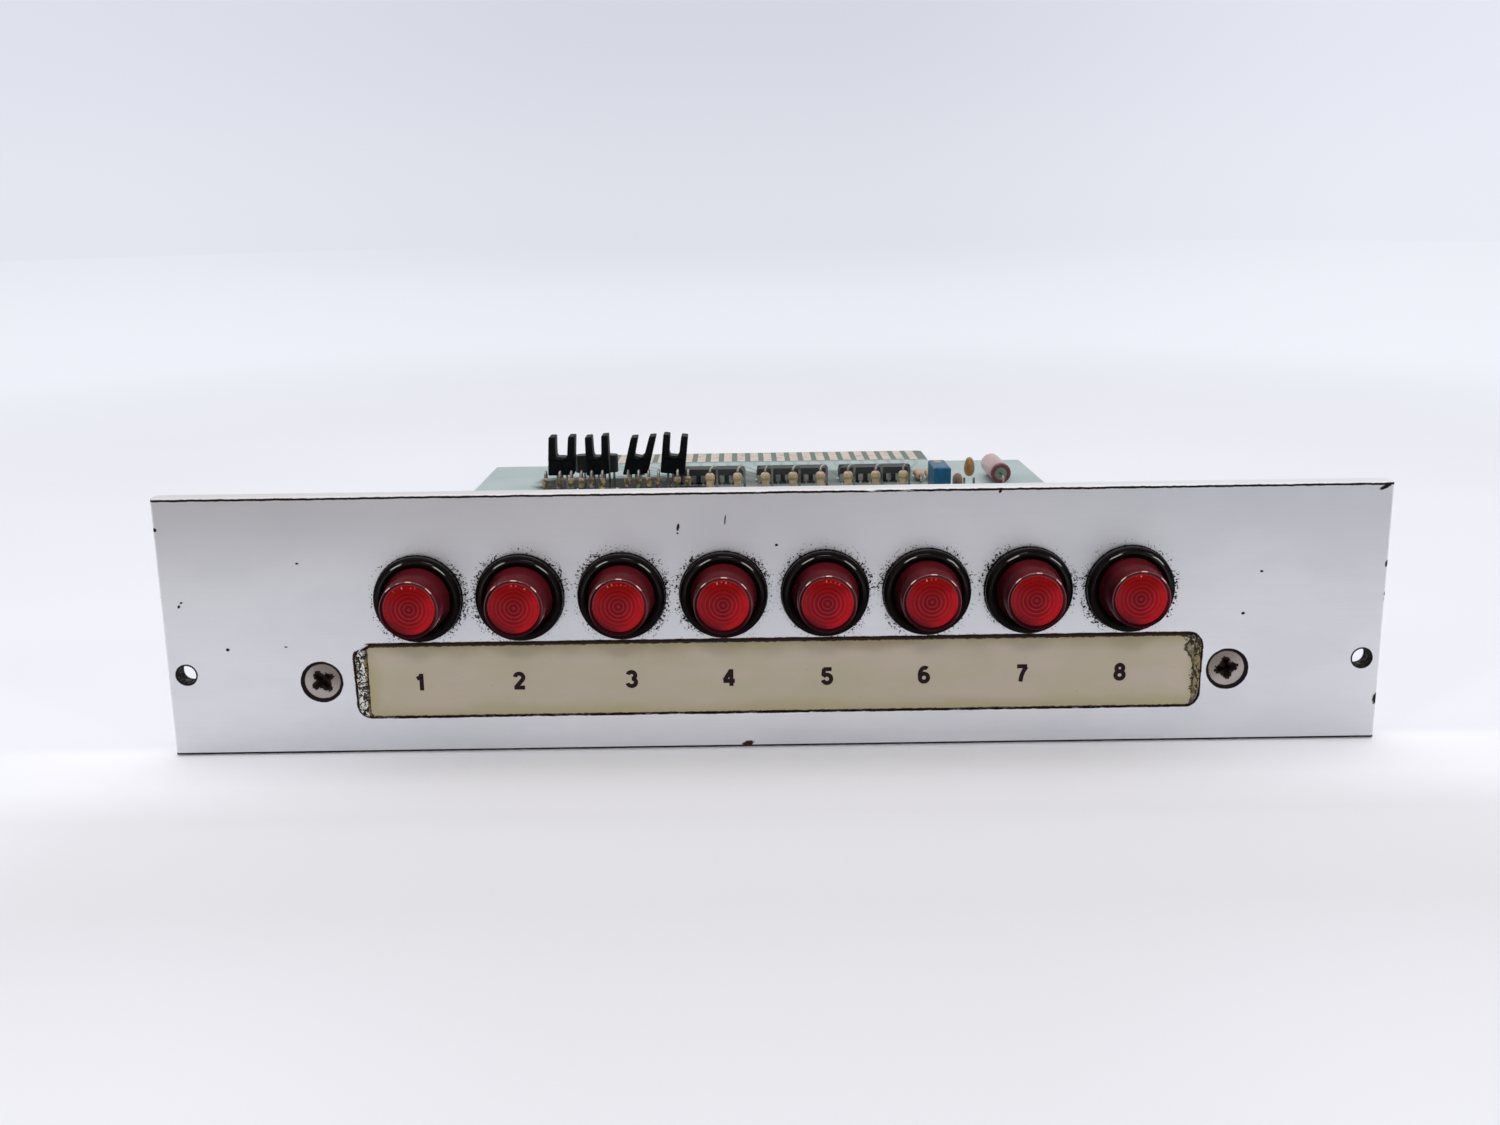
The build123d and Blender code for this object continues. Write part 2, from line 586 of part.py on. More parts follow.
def integrated_circuit(number, x, y, pin_count):
    """A dual-in-line circuit along X with its notch at the left end."""
    columns = pin_count // 2
    length = (columns - 1) * PIN_PITCH + 2 * CIRCUIT_OVERHANG
    z = (BOARD_TOP + CIRCUIT_CLEARANCE, BOARD_TOP + CIRCUIT_CLEARANCE + CIRCUIT_HEIGHT)
    body = block(around(x, length), around(y, CIRCUIT_WIDTH), z)
    body = chamfer(body.faces().sort_by(Axis.Z)[-1].edges(), 0.3)
    body -= upright(CIRCUIT_NOTCH_RADIUS, x - length / 2, y, (z[1] - CIRCUIT_NOTCH_RADIUS, z[1] + 1))
    add(f"integrated_circuit_{number}", body)
    pin = circuit_pin()
    for column in range(columns):
        pin_x = x + (column - (columns - 1) / 2) * PIN_PITCH
        for turn, row in ((0, 1), (180, -1)):
            add("circuit_pins", Pos(pin_x, y, BOARD_TOP) * Rot(0, 0, turn) * pin)
            pads.append((pin_x, y + row * PIN_ROW_OFFSET))


def resistor_body(radius, length):
    """A dog-bone resistor body along Y, from y = 0 to its length."""
    waist = radius * RESISTOR_WAIST
    slope = radius - waist
    profile = [
        (0, 0),
        (radius, 0),
        (radius, RESISTOR_CAP_LENGTH),
        (waist, RESISTOR_CAP_LENGTH + slope),
        (waist, length - RESISTOR_CAP_LENGTH - slope),
        (radius, length - RESISTOR_CAP_LENGTH),
        (radius, length),
        (0, length),
    ]
    rounding = radius * 0.6
    return turned(profile, rounds=[((radius, 0), rounding), ((radius, length), rounding)])


def standing_resistor(node, x, y, radius, length, heading):
    """A resistor on end, its upper lead looped over and down to a second hole in the heading's direction."""
    bottom = BOARD_TOP + STANDING_CLEARANCE
    top = bottom + length
    loop_top = top + STANDING_LOOP / 2
    far_x = x + STANDING_LOOP * math.cos(math.radians(heading))
    far_y = y + STANDING_LOOP * math.sin(math.radians(heading))
    add(node, Pos(x, y, bottom) * Rot(90, 0, 0) * resistor_body(radius, length))
    straight_lead(x, y, bottom)
    pads.append((far_x, far_y))
    route = [(x, y, top), (x, y, loop_top), (far_x, far_y, loop_top), (far_x, far_y, BOARD_TOP)]
    leads.append(bent_wire(route, LEAD_RADIUS, STANDING_LOOP * 0.45))


def lying_component(node, body, x, y, z, length, span):
    """A body along Y about (x, y) with a lead bent down at each end; the body starts at y = 0."""
    add(node, Pos(x, y - length / 2, z) * body)
    bend = min((span - length) / 4, (z - BOARD_TOP) * 0.8)
    for side in (-1, 1):
        bent_lead((x, y + side * length / 2, z), x, y + side * span / 2, bend)


def resistors_and_diodes():
    """The standing and lying resistors and the diodes."""
    for index in range(LAMP_COUNT):
        x = CHANNEL_RESISTOR_START + index * CHANNEL_RESISTOR_PITCH
        standing_resistor("channel_resistors", x, CHANNEL_RESISTOR_Y, CHANNEL_RESISTOR_RADIUS,
                          CHANNEL_RESISTOR_LENGTH, heading=50)
    for x in BIAS_RESISTOR_X:
        standing_resistor("bias_resistors", x, BIAS_RESISTOR_Y, BIAS_RESISTOR_RADIUS,
                          BIAS_RESISTOR_LENGTH, heading=90)
    dropper = resistor_body(DROPPER_RADIUS, DROPPER_LENGTH)
    diode = turned([(0, 0), (DIODE_RADIUS, 0), (DIODE_RADIUS, DIODE_LENGTH), (0, DIODE_LENGTH)])
    lying_places = [(x, y) for x in lamp_places() for y in DROPPER_ROWS]
    lying_places += [(x, SUPPLY_RESISTOR_Y) for x in SUPPLY_RESISTOR_X]
    for x, y in lying_places:
        lying_component("dropper_resistors", dropper, x, y, BOARD_TOP + LYING_GAP + DROPPER_RADIUS,
                        DROPPER_LENGTH, DROPPER_SPAN)
    for x in lamp_places():
        lying_component("clamp_diodes", diode, x + DIODE_OFFSET, DIODE_Y, BOARD_TOP + LYING_GAP + DIODE_RADIUS,
                        DIODE_LENGTH, DIODE_SPAN)


def trimmer():
    """A multi-turn trimmer with its slotted adjusting screw in the top."""
    bottom = BOARD_TOP + TRIMMER_CLEARANCE
    top = bottom + TRIMMER_HEIGHT
    screw_y = TRIMMER_Y + TRIMMER_DEPTH / 2 - TRIMMER_SCREW_SETBACK
    screw_z = (top - TRIMMER_SCREW_LENGTH, top)
    body = block(around(TRIMMER_X, TRIMMER_WIDTH), around(TRIMMER_Y, TRIMMER_DEPTH), (bottom, top))
    body = chamfer(body.faces().sort_by(Axis.Z)[-1].edges(), 0.3)
    body -= upright(TRIMMER_SCREW_RADIUS + SLIDING_PLAY, TRIMMER_X, screw_y, (screw_z[0], top + 1))
    add("trimmer_body", body)
    screw = upright(TRIMMER_SCREW_RADIUS, TRIMMER_X, screw_y, screw_z)
    slot = block(around(TRIMMER_X, 4 * TRIMMER_SCREW_RADIUS), around(screw_y, TRIMMER_SLOT_WIDTH),
                 (top - TRIMMER_SLOT_DEPTH, top + 1))
    add("trimmer_screw", screw - slot)
    for step in (-1, 0, 1):
        straight_lead(TRIMMER_X, TRIMMER_Y + step * TRIMMER_LEG_PITCH, bottom)


def capacitors():
    """The tantalum bead, the axial capacitor, the two reservoir capacitors and the ceramic discs."""
    bead_bottom = BOARD_TOP + TANTALUM_CLEARANCE
    outline = EllipticalCenterArc(
        (0, TANTALUM_HEIGHT / 2), TANTALUM_RADIUS, TANTALUM_HEIGHT / 2, start_angle=-90, arc_size=180
    )
    bead = revolve(make_face(outline + Line((0, TANTALUM_HEIGHT), (0, 0))), Axis.Y)
    flat = block(around(0, 4 * TANTALUM_RADIUS), (0.4, TANTALUM_HEIGHT), around(0, 4 * TANTALUM_RADIUS))
    add("tantalum_capacitor", Pos(TANTALUM_X, TANTALUM_Y, bead_bottom) * Rot(90, 0, 0) * (bead & flat))
    for leg_x in around(TANTALUM_X, TANTALUM_LEG_PITCH):
        straight_lead(leg_x, TANTALUM_Y, bead_bottom)

    axial = turned([(0, 0), (AXIAL_RADIUS, 0), (AXIAL_RADIUS, AXIAL_LENGTH), (0, AXIAL_LENGTH)],
                   rounds=[((AXIAL_RADIUS, 0), AXIAL_END_ROUND), ((AXIAL_RADIUS, AXIAL_LENGTH), AXIAL_END_ROUND)])
    lying_component("axial_capacitor", axial, AXIAL_X, AXIAL_START_Y + AXIAL_LENGTH / 2,
                    BOARD_TOP + LYING_GAP + AXIAL_RADIUS, AXIAL_LENGTH, AXIAL_LENGTH + 2 * AXIAL_LEAD_REACH)

    for x, y in RESERVOIR_PLACES:
        bottom = BOARD_TOP + RESERVOIR_CLEARANCE
        can = upright(RESERVOIR_RADIUS, x, y, (bottom, bottom + RESERVOIR_HEIGHT))
        can = fillet(can.edges().filter_by(GeomType.CIRCLE), RESERVOIR_GROOVE)
        add("reservoir_capacitors", can)
        for leg_y in around(y, RESERVOIR_LEG_PITCH):
            straight_lead(x, leg_y, bottom)

    for x, y in DISC_PLACES:
        middle = BOARD_TOP + DISC_CLEARANCE + DISC_RADIUS
        disc = Pos(x, y, middle) * Rot(0, 90, 0) * Cylinder(DISC_RADIUS, DISC_THICKNESS)
        disc = fillet(disc.edges().filter_by(GeomType.CIRCLE), DISC_EDGE_ROUND)
        add("disc_capacitors", disc)
        leg_rise = DISC_RADIUS - math.sqrt(DISC_RADIUS**2 - (DISC_LEG_PITCH / 2 - LEAD_RADIUS) ** 2)
        for leg_y in around(y, DISC_LEG_PITCH):
            straight_lead(x, leg_y, BOARD_TOP + DISC_CLEARANCE + leg_rise)


# ================================================================ circuit board
def edge_contacts():
    """The contact fingers on both faces of the tongue."""
    rear = BOARD_REACH + TONGUE_LENGTH - CONTACT_SETBACK
    faces = ((BOARD_TOP, BOARD_TOP + CONTACT_THICKNESS), (BOARD_BOTTOM - CONTACT_THICKNESS, BOARD_BOTTOM))
    for index in range(CONTACT_COUNT):
        x = TONGUE_MIDDLE + (index - (CONTACT_COUNT - 1) / 2) * CONTACT_PITCH
        for face in faces:
            add("edge_contacts", block(around(x, CONTACT_WIDTH), (rear - CONTACT_LENGTH, rear), face))


def circuit_board():
    """The board with its tongue and the screw holes over the brackets."""
    tongue_x = around(TONGUE_MIDDLE, TONGUE_WIDTH)
    tongue_end = BOARD_REACH + TONGUE_LENGTH
    left, right = around(0, BOARD_WIDTH)
    outline = Polyline(
        (left, BOARD_FRONT),
        (right, BOARD_FRONT),
        (right, BOARD_REACH),
        (tongue_x[1], BOARD_REACH),
        (tongue_x[1], tongue_end - TONGUE_CORNER_CUT),
        (tongue_x[1] - TONGUE_CORNER_CUT, tongue_end),
        (tongue_x[0] + TONGUE_CORNER_CUT, tongue_end),
        (tongue_x[0], tongue_end - TONGUE_CORNER_CUT),
        (tongue_x[0], BOARD_REACH),
        (left, BOARD_REACH),
        close=True,
    )
    corner_places = [(x, y) for x in (left, right) for y in (BOARD_FRONT, BOARD_REACH)]
    face = make_face(outline)
    for x, y in corner_places:
        face = fillet(face.vertices().sort_by_distance((x, y, 0))[0], BOARD_CORNER)
    for x, y in board_screw_places():
        face -= Pos(x, y) * Circle(SCREW_HOLE_RADIUS)
    return Pos(0, 0, BOARD_BOTTOM) * extrude(face, BOARD_THICKNESS, dir=(0, 0, 1))


def solder_joints():
    """A cone of solder with the lead's tip in it, at every pad on the board's underside."""
    joint = turned([
        (0, 0),
        (SOLDER_RADIUS, 0),
        (SOLDER_TIP_RADIUS, SOLDER_HEIGHT),
        (LEAD_RADIUS, SOLDER_HEIGHT),
        (LEAD_RADIUS, LEAD_TAIL),
        (0, LEAD_TAIL),
    ])
    for x, y in pads:
        add("solder_joints", Pos(x, y, BOARD_BOTTOM) * Rot(-90, 0, 0) * joint)


# ================================================================ assembly
def build():
    """Make every piece."""
    add("front_panel", front_panel())
    add("label_strip", label_strip())
    panel_hardware()
    board_hardware()
    lamp_units()
    drivers()
    numbered = 1
    for y, places, pin_count in (
        (REAR_CIRCUIT_Y, REAR_CIRCUIT_X, REAR_PIN_COUNT),
        (FRONT_CIRCUIT_Y, FRONT_CIRCUIT_X, FRONT_PIN_COUNT),
    ):
        for x in places:
            integrated_circuit(numbered, x, y, pin_count)
            numbered += 1
    resistors_and_diodes()
    trimmer()
    capacitors()
    edge_contacts()
    add("component_leads", *leads)
    add("circuit_board", circuit_board())
    solder_joints()


build()
os.makedirs("parts", exist_ok=True)
for node, solids in parts.items():
    shape = solids[0] if len(solids) == 1 else Compound(label=node, children=solids)
    export_step(shape, f"parts/{node}.step")
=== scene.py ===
"""Finishes and fine parts of the eight-lamp plug-in card, built round the frame of its CAD model.

Metres, in the model's own frame: X runs along the panel, Y from the panel's rear face to the card-edge
tongue, Z up. Patterns in the materials are worked out in millimetres in that same frame.
"""

import logging
import math
from collections.abc import Callable, Sequence
from dataclasses import dataclass, field
from enum import Enum

import bmesh
import bpy
import numpy as np
from mathutils import Euler, Matrix, Vector


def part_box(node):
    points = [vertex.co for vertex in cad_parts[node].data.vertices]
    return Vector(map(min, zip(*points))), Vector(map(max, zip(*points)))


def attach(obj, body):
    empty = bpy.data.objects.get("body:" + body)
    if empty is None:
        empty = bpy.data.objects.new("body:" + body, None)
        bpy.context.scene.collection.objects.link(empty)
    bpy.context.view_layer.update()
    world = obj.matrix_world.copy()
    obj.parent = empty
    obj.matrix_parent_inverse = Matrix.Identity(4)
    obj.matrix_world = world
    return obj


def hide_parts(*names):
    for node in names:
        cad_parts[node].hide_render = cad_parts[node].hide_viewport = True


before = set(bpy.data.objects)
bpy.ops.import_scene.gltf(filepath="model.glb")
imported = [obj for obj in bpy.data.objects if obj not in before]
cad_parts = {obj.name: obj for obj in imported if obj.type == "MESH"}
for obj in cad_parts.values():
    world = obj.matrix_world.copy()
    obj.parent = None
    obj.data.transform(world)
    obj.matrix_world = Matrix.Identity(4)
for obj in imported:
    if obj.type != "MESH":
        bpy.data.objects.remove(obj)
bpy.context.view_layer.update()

MM = 0.001
MODULE = "module"
LAMP_COUNT = 8
LAMP_PITCH = 15.24
log = logging.getLogger("lamp_card")

Colour = tuple[float, float, float]


# ================================================================ shader arithmetic
class Signal:
    """A socket of a node tree that takes part in ordinary arithmetic."""

    def __init__(self, bench: "Bench", socket: bpy.types.NodeSocket) -> None:
        """Keep the socket and the bench that owns its tree."""
        self.bench = bench
        self.socket = socket

    def maths(self, operation: str, *others: "Signal | float") -> "Signal":
        """Add a Math node whose first input is this signal.

        Args:
            operation: The Math node's operation.
            others: Its further inputs.

        Returns:
            The node's result.
        """
        return self.bench.maths(operation, self, *others)

    def __add__(self, other: "Signal | float") -> "Signal":
        """Sum."""
        return self.maths("ADD", other)

    __radd__ = __add__

    def __sub__(self, other: "Signal | float") -> "Signal":
        """Difference."""
        return self.maths("SUBTRACT", other)

    def __rsub__(self, other: float) -> "Signal":
        """A plain number less this signal."""
        return self.bench.maths("SUBTRACT", other, self)

    def __mul__(self, other: "Signal | float") -> "Signal":
        """Product."""
        return self.maths("MULTIPLY", other)

    __rmul__ = __mul__

    def __truediv__(self, other: "Signal | float") -> "Signal":
        """Quotient."""
        return self.maths("DIVIDE", other)

    def __rtruediv__(self, other: float) -> "Signal":
        """A plain number over this signal."""
        return self.bench.maths("DIVIDE", other, self)

    def __pow__(self, other: "Signal | float") -> "Signal":
        """Power."""
        return self.maths("POWER", other)

    def __abs__(self) -> "Signal":
        """Size without sign."""
        return self.maths("ABSOLUTE")

    def sine(self) -> "Signal":
        """Sine of a value in radians."""
        return self.maths("SINE")

    def angle(self, across: "Signal") -> "Signal":
        """The angle in radians, from the first axis, of a point that lies across by one and up by this."""
        return self.maths("ARCTAN2", across)

    def diagonal(self, other: "Signal") -> "Signal":
        """The root of the sum of two squares: the length whose two parts at right angles these are."""
        return (self * self + other * other) ** 0.5

    def least(self, other: "Signal | float") -> "Signal":
        """The smaller of two values."""
        return self.maths("MINIMUM", other)

    def most(self, other: "Signal | float") -> "Signal":
        """The larger of two values."""
        return self.maths("MAXIMUM", other)

    def folded(self, pitch: float) -> "Signal":
        """Signed distance from the nearest whole multiple of a pitch."""
        return self.maths("WRAP", pitch / 2, -pitch / 2)

    def rise(self, start: float, end: float) -> "Signal":
        """A smooth step from 0 at start to 1 at end.

        Args:
            start: Value at and before which the result is 0.
            end: Value at and after which the result is 1; it may be below start.

        Returns:
            The smooth step.
        """
        low, high = min(start, end), max(start, end)
        step = self.bench.node(
            "ShaderNodeMapRange", {"interpolation_type": "SMOOTHSTEP"}, {0: self, 1: low, 2: high}
        )
        return step if start <= end else 1.0 - step


class Bench:
    """A node tree under construction, with one method for any node and short ones for the common few."""

    def __init__(self, tree: bpy.types.NodeTree) -> None:
        """Empty the tree."""
        self.tree = tree
        tree.nodes.clear()

    def node(self, kind: str, settings: dict, sockets: dict, output: int | str = 0) -> Signal:
        """Add a node of any type.

        Args:
            kind: The node's type name.
            settings: Its own attributes, set first; "stops" holds a ramp's (position, colour) pairs.
            sockets: Input name or number to a value or a signal.
            output: Which output is returned.

        Returns:
            The chosen output.
        """
        made = self.tree.nodes.new(kind)
        for name, value in settings.items():
            if name == "stops":
                self._set_stops(made.color_ramp, value)
            elif name == "ramp_style":
                made.color_ramp.interpolation = value
            else:
                setattr(made, name, value)
        for name, value in sockets.items():
            self.feed(made.inputs[name], value)
        return Signal(self, made.outputs[output])

    def feed(self, socket: bpy.types.NodeSocket, value: Signal | float | Sequence[float]) -> None:
        """Link a signal to a socket, or write a constant on it."""
        if isinstance(value, Signal):
            self.tree.links.new(value.socket, socket)
        elif socket.type == "RGBA":
            socket.default_value = (*value[:3], 1.0)
        else:
            socket.default_value = value

    @staticmethod
    def _set_stops(ramp: bpy.types.ColorRamp, stops: Sequence[tuple[float, Colour]]) -> None:
        """Give a ramp its stops."""
        while len(ramp.elements) < len(stops):
            ramp.elements.new(1.0)
        for element, (position, colour) in zip(ramp.elements, stops):
            element.position = position
            element.color = (*colour, 1.0)

    def maths(self, operation: str, *values: Signal | float) -> Signal:
        """A Math node on these values."""
        return self.node("ShaderNodeMath", {"operation": operation}, dict(enumerate(values)))

    def position(self) -> Signal:
        """The object's own coordinates, in millimetres."""
        metres = self.node("ShaderNodeTexCoord", {}, {}, "Object")
        return self.node("ShaderNodeVectorMath", {"operation": "SCALE"}, {0: metres, "Scale": 1 / MM})

    def axes(self) -> tuple[Signal, Signal, Signal]:
        """X, Y and Z of the object's own coordinates, in millimetres."""
        split = self.node("ShaderNodeSeparateXYZ", {}, {0: self.position()})
        outputs = split.socket.node.outputs
        return tuple(Signal(self, outputs[index]) for index in range(3))

    def mark(self, name: str) -> Signal:
        """A number stored on the piece's vertices."""
        return self.node("ShaderNodeAttribute", {"attribute_name": name}, {}, "Fac")

    def noise(self, scale: Sequence[float] | float, detail: float = 3.0, roughness: float = 0.55) -> Signal:
        """Noise from 0 to 1 about a middle of 0.5.

        Args:
            scale: Features per millimetre, the same all round or along X, Y and Z.
            detail: How many finer octaves are added.
            roughness: How strong the finer octaves are.

        Returns:
            The noise.
        """
        along = (scale,) * 3 if isinstance(scale, (int, float)) else scale
        place = self.node("ShaderNodeVectorMath", {"operation": "MULTIPLY"}, {0: self.position(), 1: along})
        sockets = {"Vector": place, "Scale": 1.0, "Detail": detail, "Roughness": roughness}
        return self.node("ShaderNodeTexNoise", {}, sockets)

    def blend(self, low: Signal | Colour, high: Signal | Colour, share: Signal | float) -> Signal:
        """A colour part of the way from one to another.

        Args:
            low: Colour at a share of 0.
            high: Colour at a share of 1.
            share: How far to go.

        Returns:
            The mixed colour.
        """
        return self.node("ShaderNodeMix", {"data_type": "RGBA"}, {0: share, 6: low, 7: high}, 2)

    def tint(self, colour: Signal, by: Colour) -> Signal:
        """A colour multiplied by another, channel by channel."""
        return self.node("ShaderNodeVectorMath", {"operation": "MULTIPLY"}, {0: colour, 1: by})

    def palette(self, value: Signal, stops: Sequence[tuple[float, Colour]], style: str = "LINEAR") -> Signal:
        """A colour looked up from a ramp."""
        return self.node("ShaderNodeValToRGB", {"stops": stops, "ramp_style": style}, {0: value})

    def bump(self, height: Signal, depth: float) -> Signal:
        """A surface normal tilted by a height.

        Args:
            height: The height, from 0 to 1.
            depth: What a height of 1 stands for, in millimetres.

        Returns:
            The normal.
        """
        return self.node("ShaderNodeBump", {}, {"Height": height, "Distance": depth * MM})

    def principled(self, sockets: dict) -> Signal:
        """A Principled shader with these inputs."""
        return self.node("ShaderNodeBsdfPrincipled", {}, sockets)

    def output(self, shader: Signal, kind: str = "ShaderNodeOutputMaterial") -> None:
        """Send a shader to the tree's output."""
        made = self.tree.nodes.new(kind)
        self.tree.links.new(shader.socket, made.inputs["Surface"])


# ================================================================ finishes
@dataclass(frozen=True)
class Finish:
    """A material: its name, and the record's slot that it belongs to."""

    name: str
    slot: str

    def material(self) -> bpy.types.Material:
        """The material, made the first time that it is asked for."""
        found = bpy.data.materials.get(self.name)
        if found:
            return found
        made = bpy.data.materials.new(self.name)
        made.use_nodes = True
        bench = Bench(made.node_tree)
        bench.output(self.paint(bench))
        return made

    def paint(self, bench: Bench) -> Signal:
        """Build the shader.

        Args:
            bench: The material's tree.

        Returns:
            The finished shader.
        """
        raise NotImplementedError


@dataclass(frozen=True)
class Metal(Finish):
    """Bare or plated metal with grain, dull patches and fine scratches."""

    colour: Colour
    tarnish: Colour
    roughness: float = 0.32
    grain: tuple[float, float, float] = (2.0, 2.0, 2.0)
    tarnish_share: float = 0.4
    relief: float = 0.01

    def paint(self, bench: Bench) -> Signal:
        """Tarnish gathers where coarse noise is high; grain tilts and dulls the surface."""
        patches = bench.noise(0.35, detail=5.0).rise(0.42, 0.72)
        grain = bench.noise(self.grain, detail=4.0)
        return bench.principled({
            "Base Color": bench.blend(self.colour, self.tarnish, patches * self.tarnish_share),
            "Metallic": 1.0,
            "Roughness": patches * 0.12 + grain * 0.16 + (self.roughness - 0.08),
            "Normal": bench.bump(grain, self.relief),
        })


@dataclass(frozen=True)
class Plastic(Finish):
    """Moulded or dipped material with a faint mottle and a skin of fine relief."""

    colour: Colour
    shade: Colour
    roughness: float = 0.4
    mottle: float = 0.6
    relief: float = 0.015
    relief_scale: float = 4.0
    gloss: float = 0.0
    shine: float = 0.5
    index: float = 1.5

    def paint(self, bench: Bench) -> Signal:
        """Colour wanders between two shades; fine noise gives the skin its relief."""
        wander = bench.noise(self.mottle, detail=4.0).rise(0.3, 0.7)
        skin = bench.noise(self.relief_scale, detail=3.0)
        return bench.principled({
            "Base Color": bench.blend(self.colour, self.shade, wander),
            "Roughness": skin * 0.14 + wander * 0.06 + (self.roughness - 0.1),
            "Specular IOR Level": self.shine,
            "IOR": self.index,
            "Coat Weight": self.gloss,
            "Coat Roughness": 0.08,
            "Normal": bench.bump(skin, self.relief),
        })


def about_lamp(x: Signal, z: Signal, height: float) -> tuple[Signal, Signal, Signal]:
    """How far a point lies across, up and straight out from the axis of the nearest lamp.

    Args:
        x: The point's X.
        z: Its Z.
        height: The Z of the row of lamps.

    Returns:
        The three distances, in millimetres.
    """
    across = (x - LAMP_PITCH / 2).folded(LAMP_PITCH)
    up = z - height
    return across, up, across.diagonal(up)


def lit_arcs(turn: Signal, middles: Sequence[float], halves: Sequence[float]) -> Signal:
    """1 where an angle lies within any of these arcs, fading towards the ends of each.

    Args:
        turn: The angle, in radians.
        middles: The middle of each arc.
        halves: Half of each arc's length.

    Returns:
        The mask.
    """
    arcs = turn * 0.0
    for middle, half in zip(middles, halves):
        arcs = arcs.most(abs(turn - middle).rise(half, half * 0.5))
    return arcs


@dataclass(frozen=True)
class Nick:
    """A small dark mark on the panel's face: middle, length and width in millimetres, turn in degrees."""

    x: float
    z: float
    length: float = 0.4
    width: float = 0.25
    turn: float = 0.0

    def mask(self, x: Signal, z: Signal, ragged: Signal) -> Signal:
        """1 inside the mark: an ellipse whose edge wanders with noise."""
        cosine, sine = math.cos(math.radians(self.turn)), math.sin(math.radians(self.turn))
        across, up = x - self.x, z - self.z
        along = (across * cosine + up * sine) / (self.length / 2)
        side = (up * cosine - across * sine) / (self.width / 2)
        return (along.diagonal(side) + ragged * 1.2).rise(1.9, 1.2)


@dataclass(frozen=True)
class PanelFinish(Finish):
    """Satin aluminium with long fine grain, grime round the lamps and the label, worn dark edges and painted
    shade.
    """

    half_width: float
    top: float
    bottom: float
    front: float
    lamp_height: float
    bezel_radius: float
    pocket_half: float
    pocket_shift: float
    pocket_top: float
    pocket_bottom: float
    pocket_corner: float
    screw_x: float
    screw_z: float
    hole_x: float
    nicks: tuple[Nick, ...] = ()

    def grime(self, bench: Bench, x: Signal, z: Signal) -> Signal:
        """Specks that thin out with distance from each bezel, and along the pocket's top edge."""
        across, _, reach = about_lamp(x, z, self.lamp_height)
        out = reach - self.bezel_radius
        above = z - self.pocket_top
        row_end = LAMP_PITCH * LAMP_COUNT / 2
        row = abs(x).rise(row_end + 0.6, row_end - 0.6)
        patch = bench.noise(0.13, detail=2.0).rise(0.40, 0.60)
        sides = (abs(across) / reach).rise(0.2, 0.7) * 0.35 + 0.65
        near = out.rise(2.6, 0.1) * row * sides * (patch * 0.4 + 0.6)
        over_label = above.rise(1.2, 0.0) * above.rise(-0.1, 0.1)
        over_label = over_label * abs(x).rise(self.pocket_half, self.pocket_half - 5.0) * 0.55
        dirty = near.most(over_label)
        speck = bench.noise(3.2, detail=3.0, roughness=0.7)
        limit = 0.755 - dirty * 0.255
        hug = (out + (speck - 0.5) * 0.4).rise(0.16, 0.08) * row
        return ((speck - limit).rise(-0.002, 0.012) * dirty.rise(0.02, 0.2)).most(hug)

    def edges(self, bench: Bench, x: Signal, y: Signal, z: Signal) -> Signal:
        """Dark lines on the chamfers, broken by wear."""
        front = y.rise(self.front + 0.4, self.front + 0.25)
        wear = bench.noise((0.08, 0.5, 0.5), detail=5.0)
        wobble = (bench.noise((0.5, 0.5, 0.5), detail=5.0, roughness=0.65) - 0.5) * 0.35
        fine = bench.noise((0.9, 2.0, 2.0), detail=3.0)
        upper = abs(z - self.top + 0.36 + wobble).rise(0.2, 0.12) * wear.rise(0.34, 0.42)
        lower = z.rise(self.bottom + 0.40, self.bottom + 0.32) * (wear.rise(0.2, 0.3) * 0.2 + 0.8)
        sides = abs(x).rise(self.half_width - 0.34, self.half_width - 0.26) * fine.rise(0.66, 0.72) * 0.7
        return front * upper.most(lower).most(sides)

    def rim_dirt_and_shade(self, bench: Bench, x: Signal, y: Signal, z: Signal) -> Signal:
        """Dark rims round the label pocket, in the countersinks, and round and down the fixing holes.

        The pocket's line is heavier along its top, where it is partly dirt and partly painted shadow. Round
        each fixing hole a ring of dirt lies on the face, and down the hole's wall it goes on as painted
        shade.

        The rim is the outline of a rectangle with round corners, as a distance: what a point lies past the
        straight sides, drawn together into one length, less the corner's radius.
        """
        wander = bench.noise((0.45, 1.0, 1.0), detail=4.0, roughness=0.7) - 0.5
        middle = (self.pocket_top + self.pocket_bottom) / 2
        half_height = (self.pocket_top - self.pocket_bottom) / 2
        along = x - self.pocket_shift
        from_end = along + self.pocket_half
        above = z - self.pocket_top
        past_side = (abs(along) - (self.pocket_half - self.pocket_corner)).most(0.0)
        past_top = (abs(z - middle) - (half_height - self.pocket_corner)).most(0.0)
        rim = past_side.diagonal(past_top) - self.pocket_corner
        # Partly painted shadow: the line is drawn thicker along the pocket's top.
        weight = (z - middle).rise(-3.0, 4.0) * 0.18 + 0.05
        bare = from_end.rise(2.3, 1.5) * above.rise(-1.1, -0.8)
        line = (abs(rim - 0.02) + wander * 0.36 - weight).rise(0.05, -0.02) * (1.0 - bare)
        step = (from_end - 2.0) * 0.55 - above - 0.55 + wander * 0.5
        smear = abs(step).rise(0.34, 0.2) * abs(from_end - 1.7).rise(0.95, 0.8) * y.rise(-2.0, -2.3)
        screw = (abs(x) - self.screw_x).diagonal(z - self.screw_z)
        hole = (abs(x) - self.hole_x).diagonal(z)
        sunk = y.rise(self.front + 0.25, self.front + 0.35)
        ring = (screw + wander * 0.25).rise(3.28, 3.2) * y.rise(-1.0, -1.3)
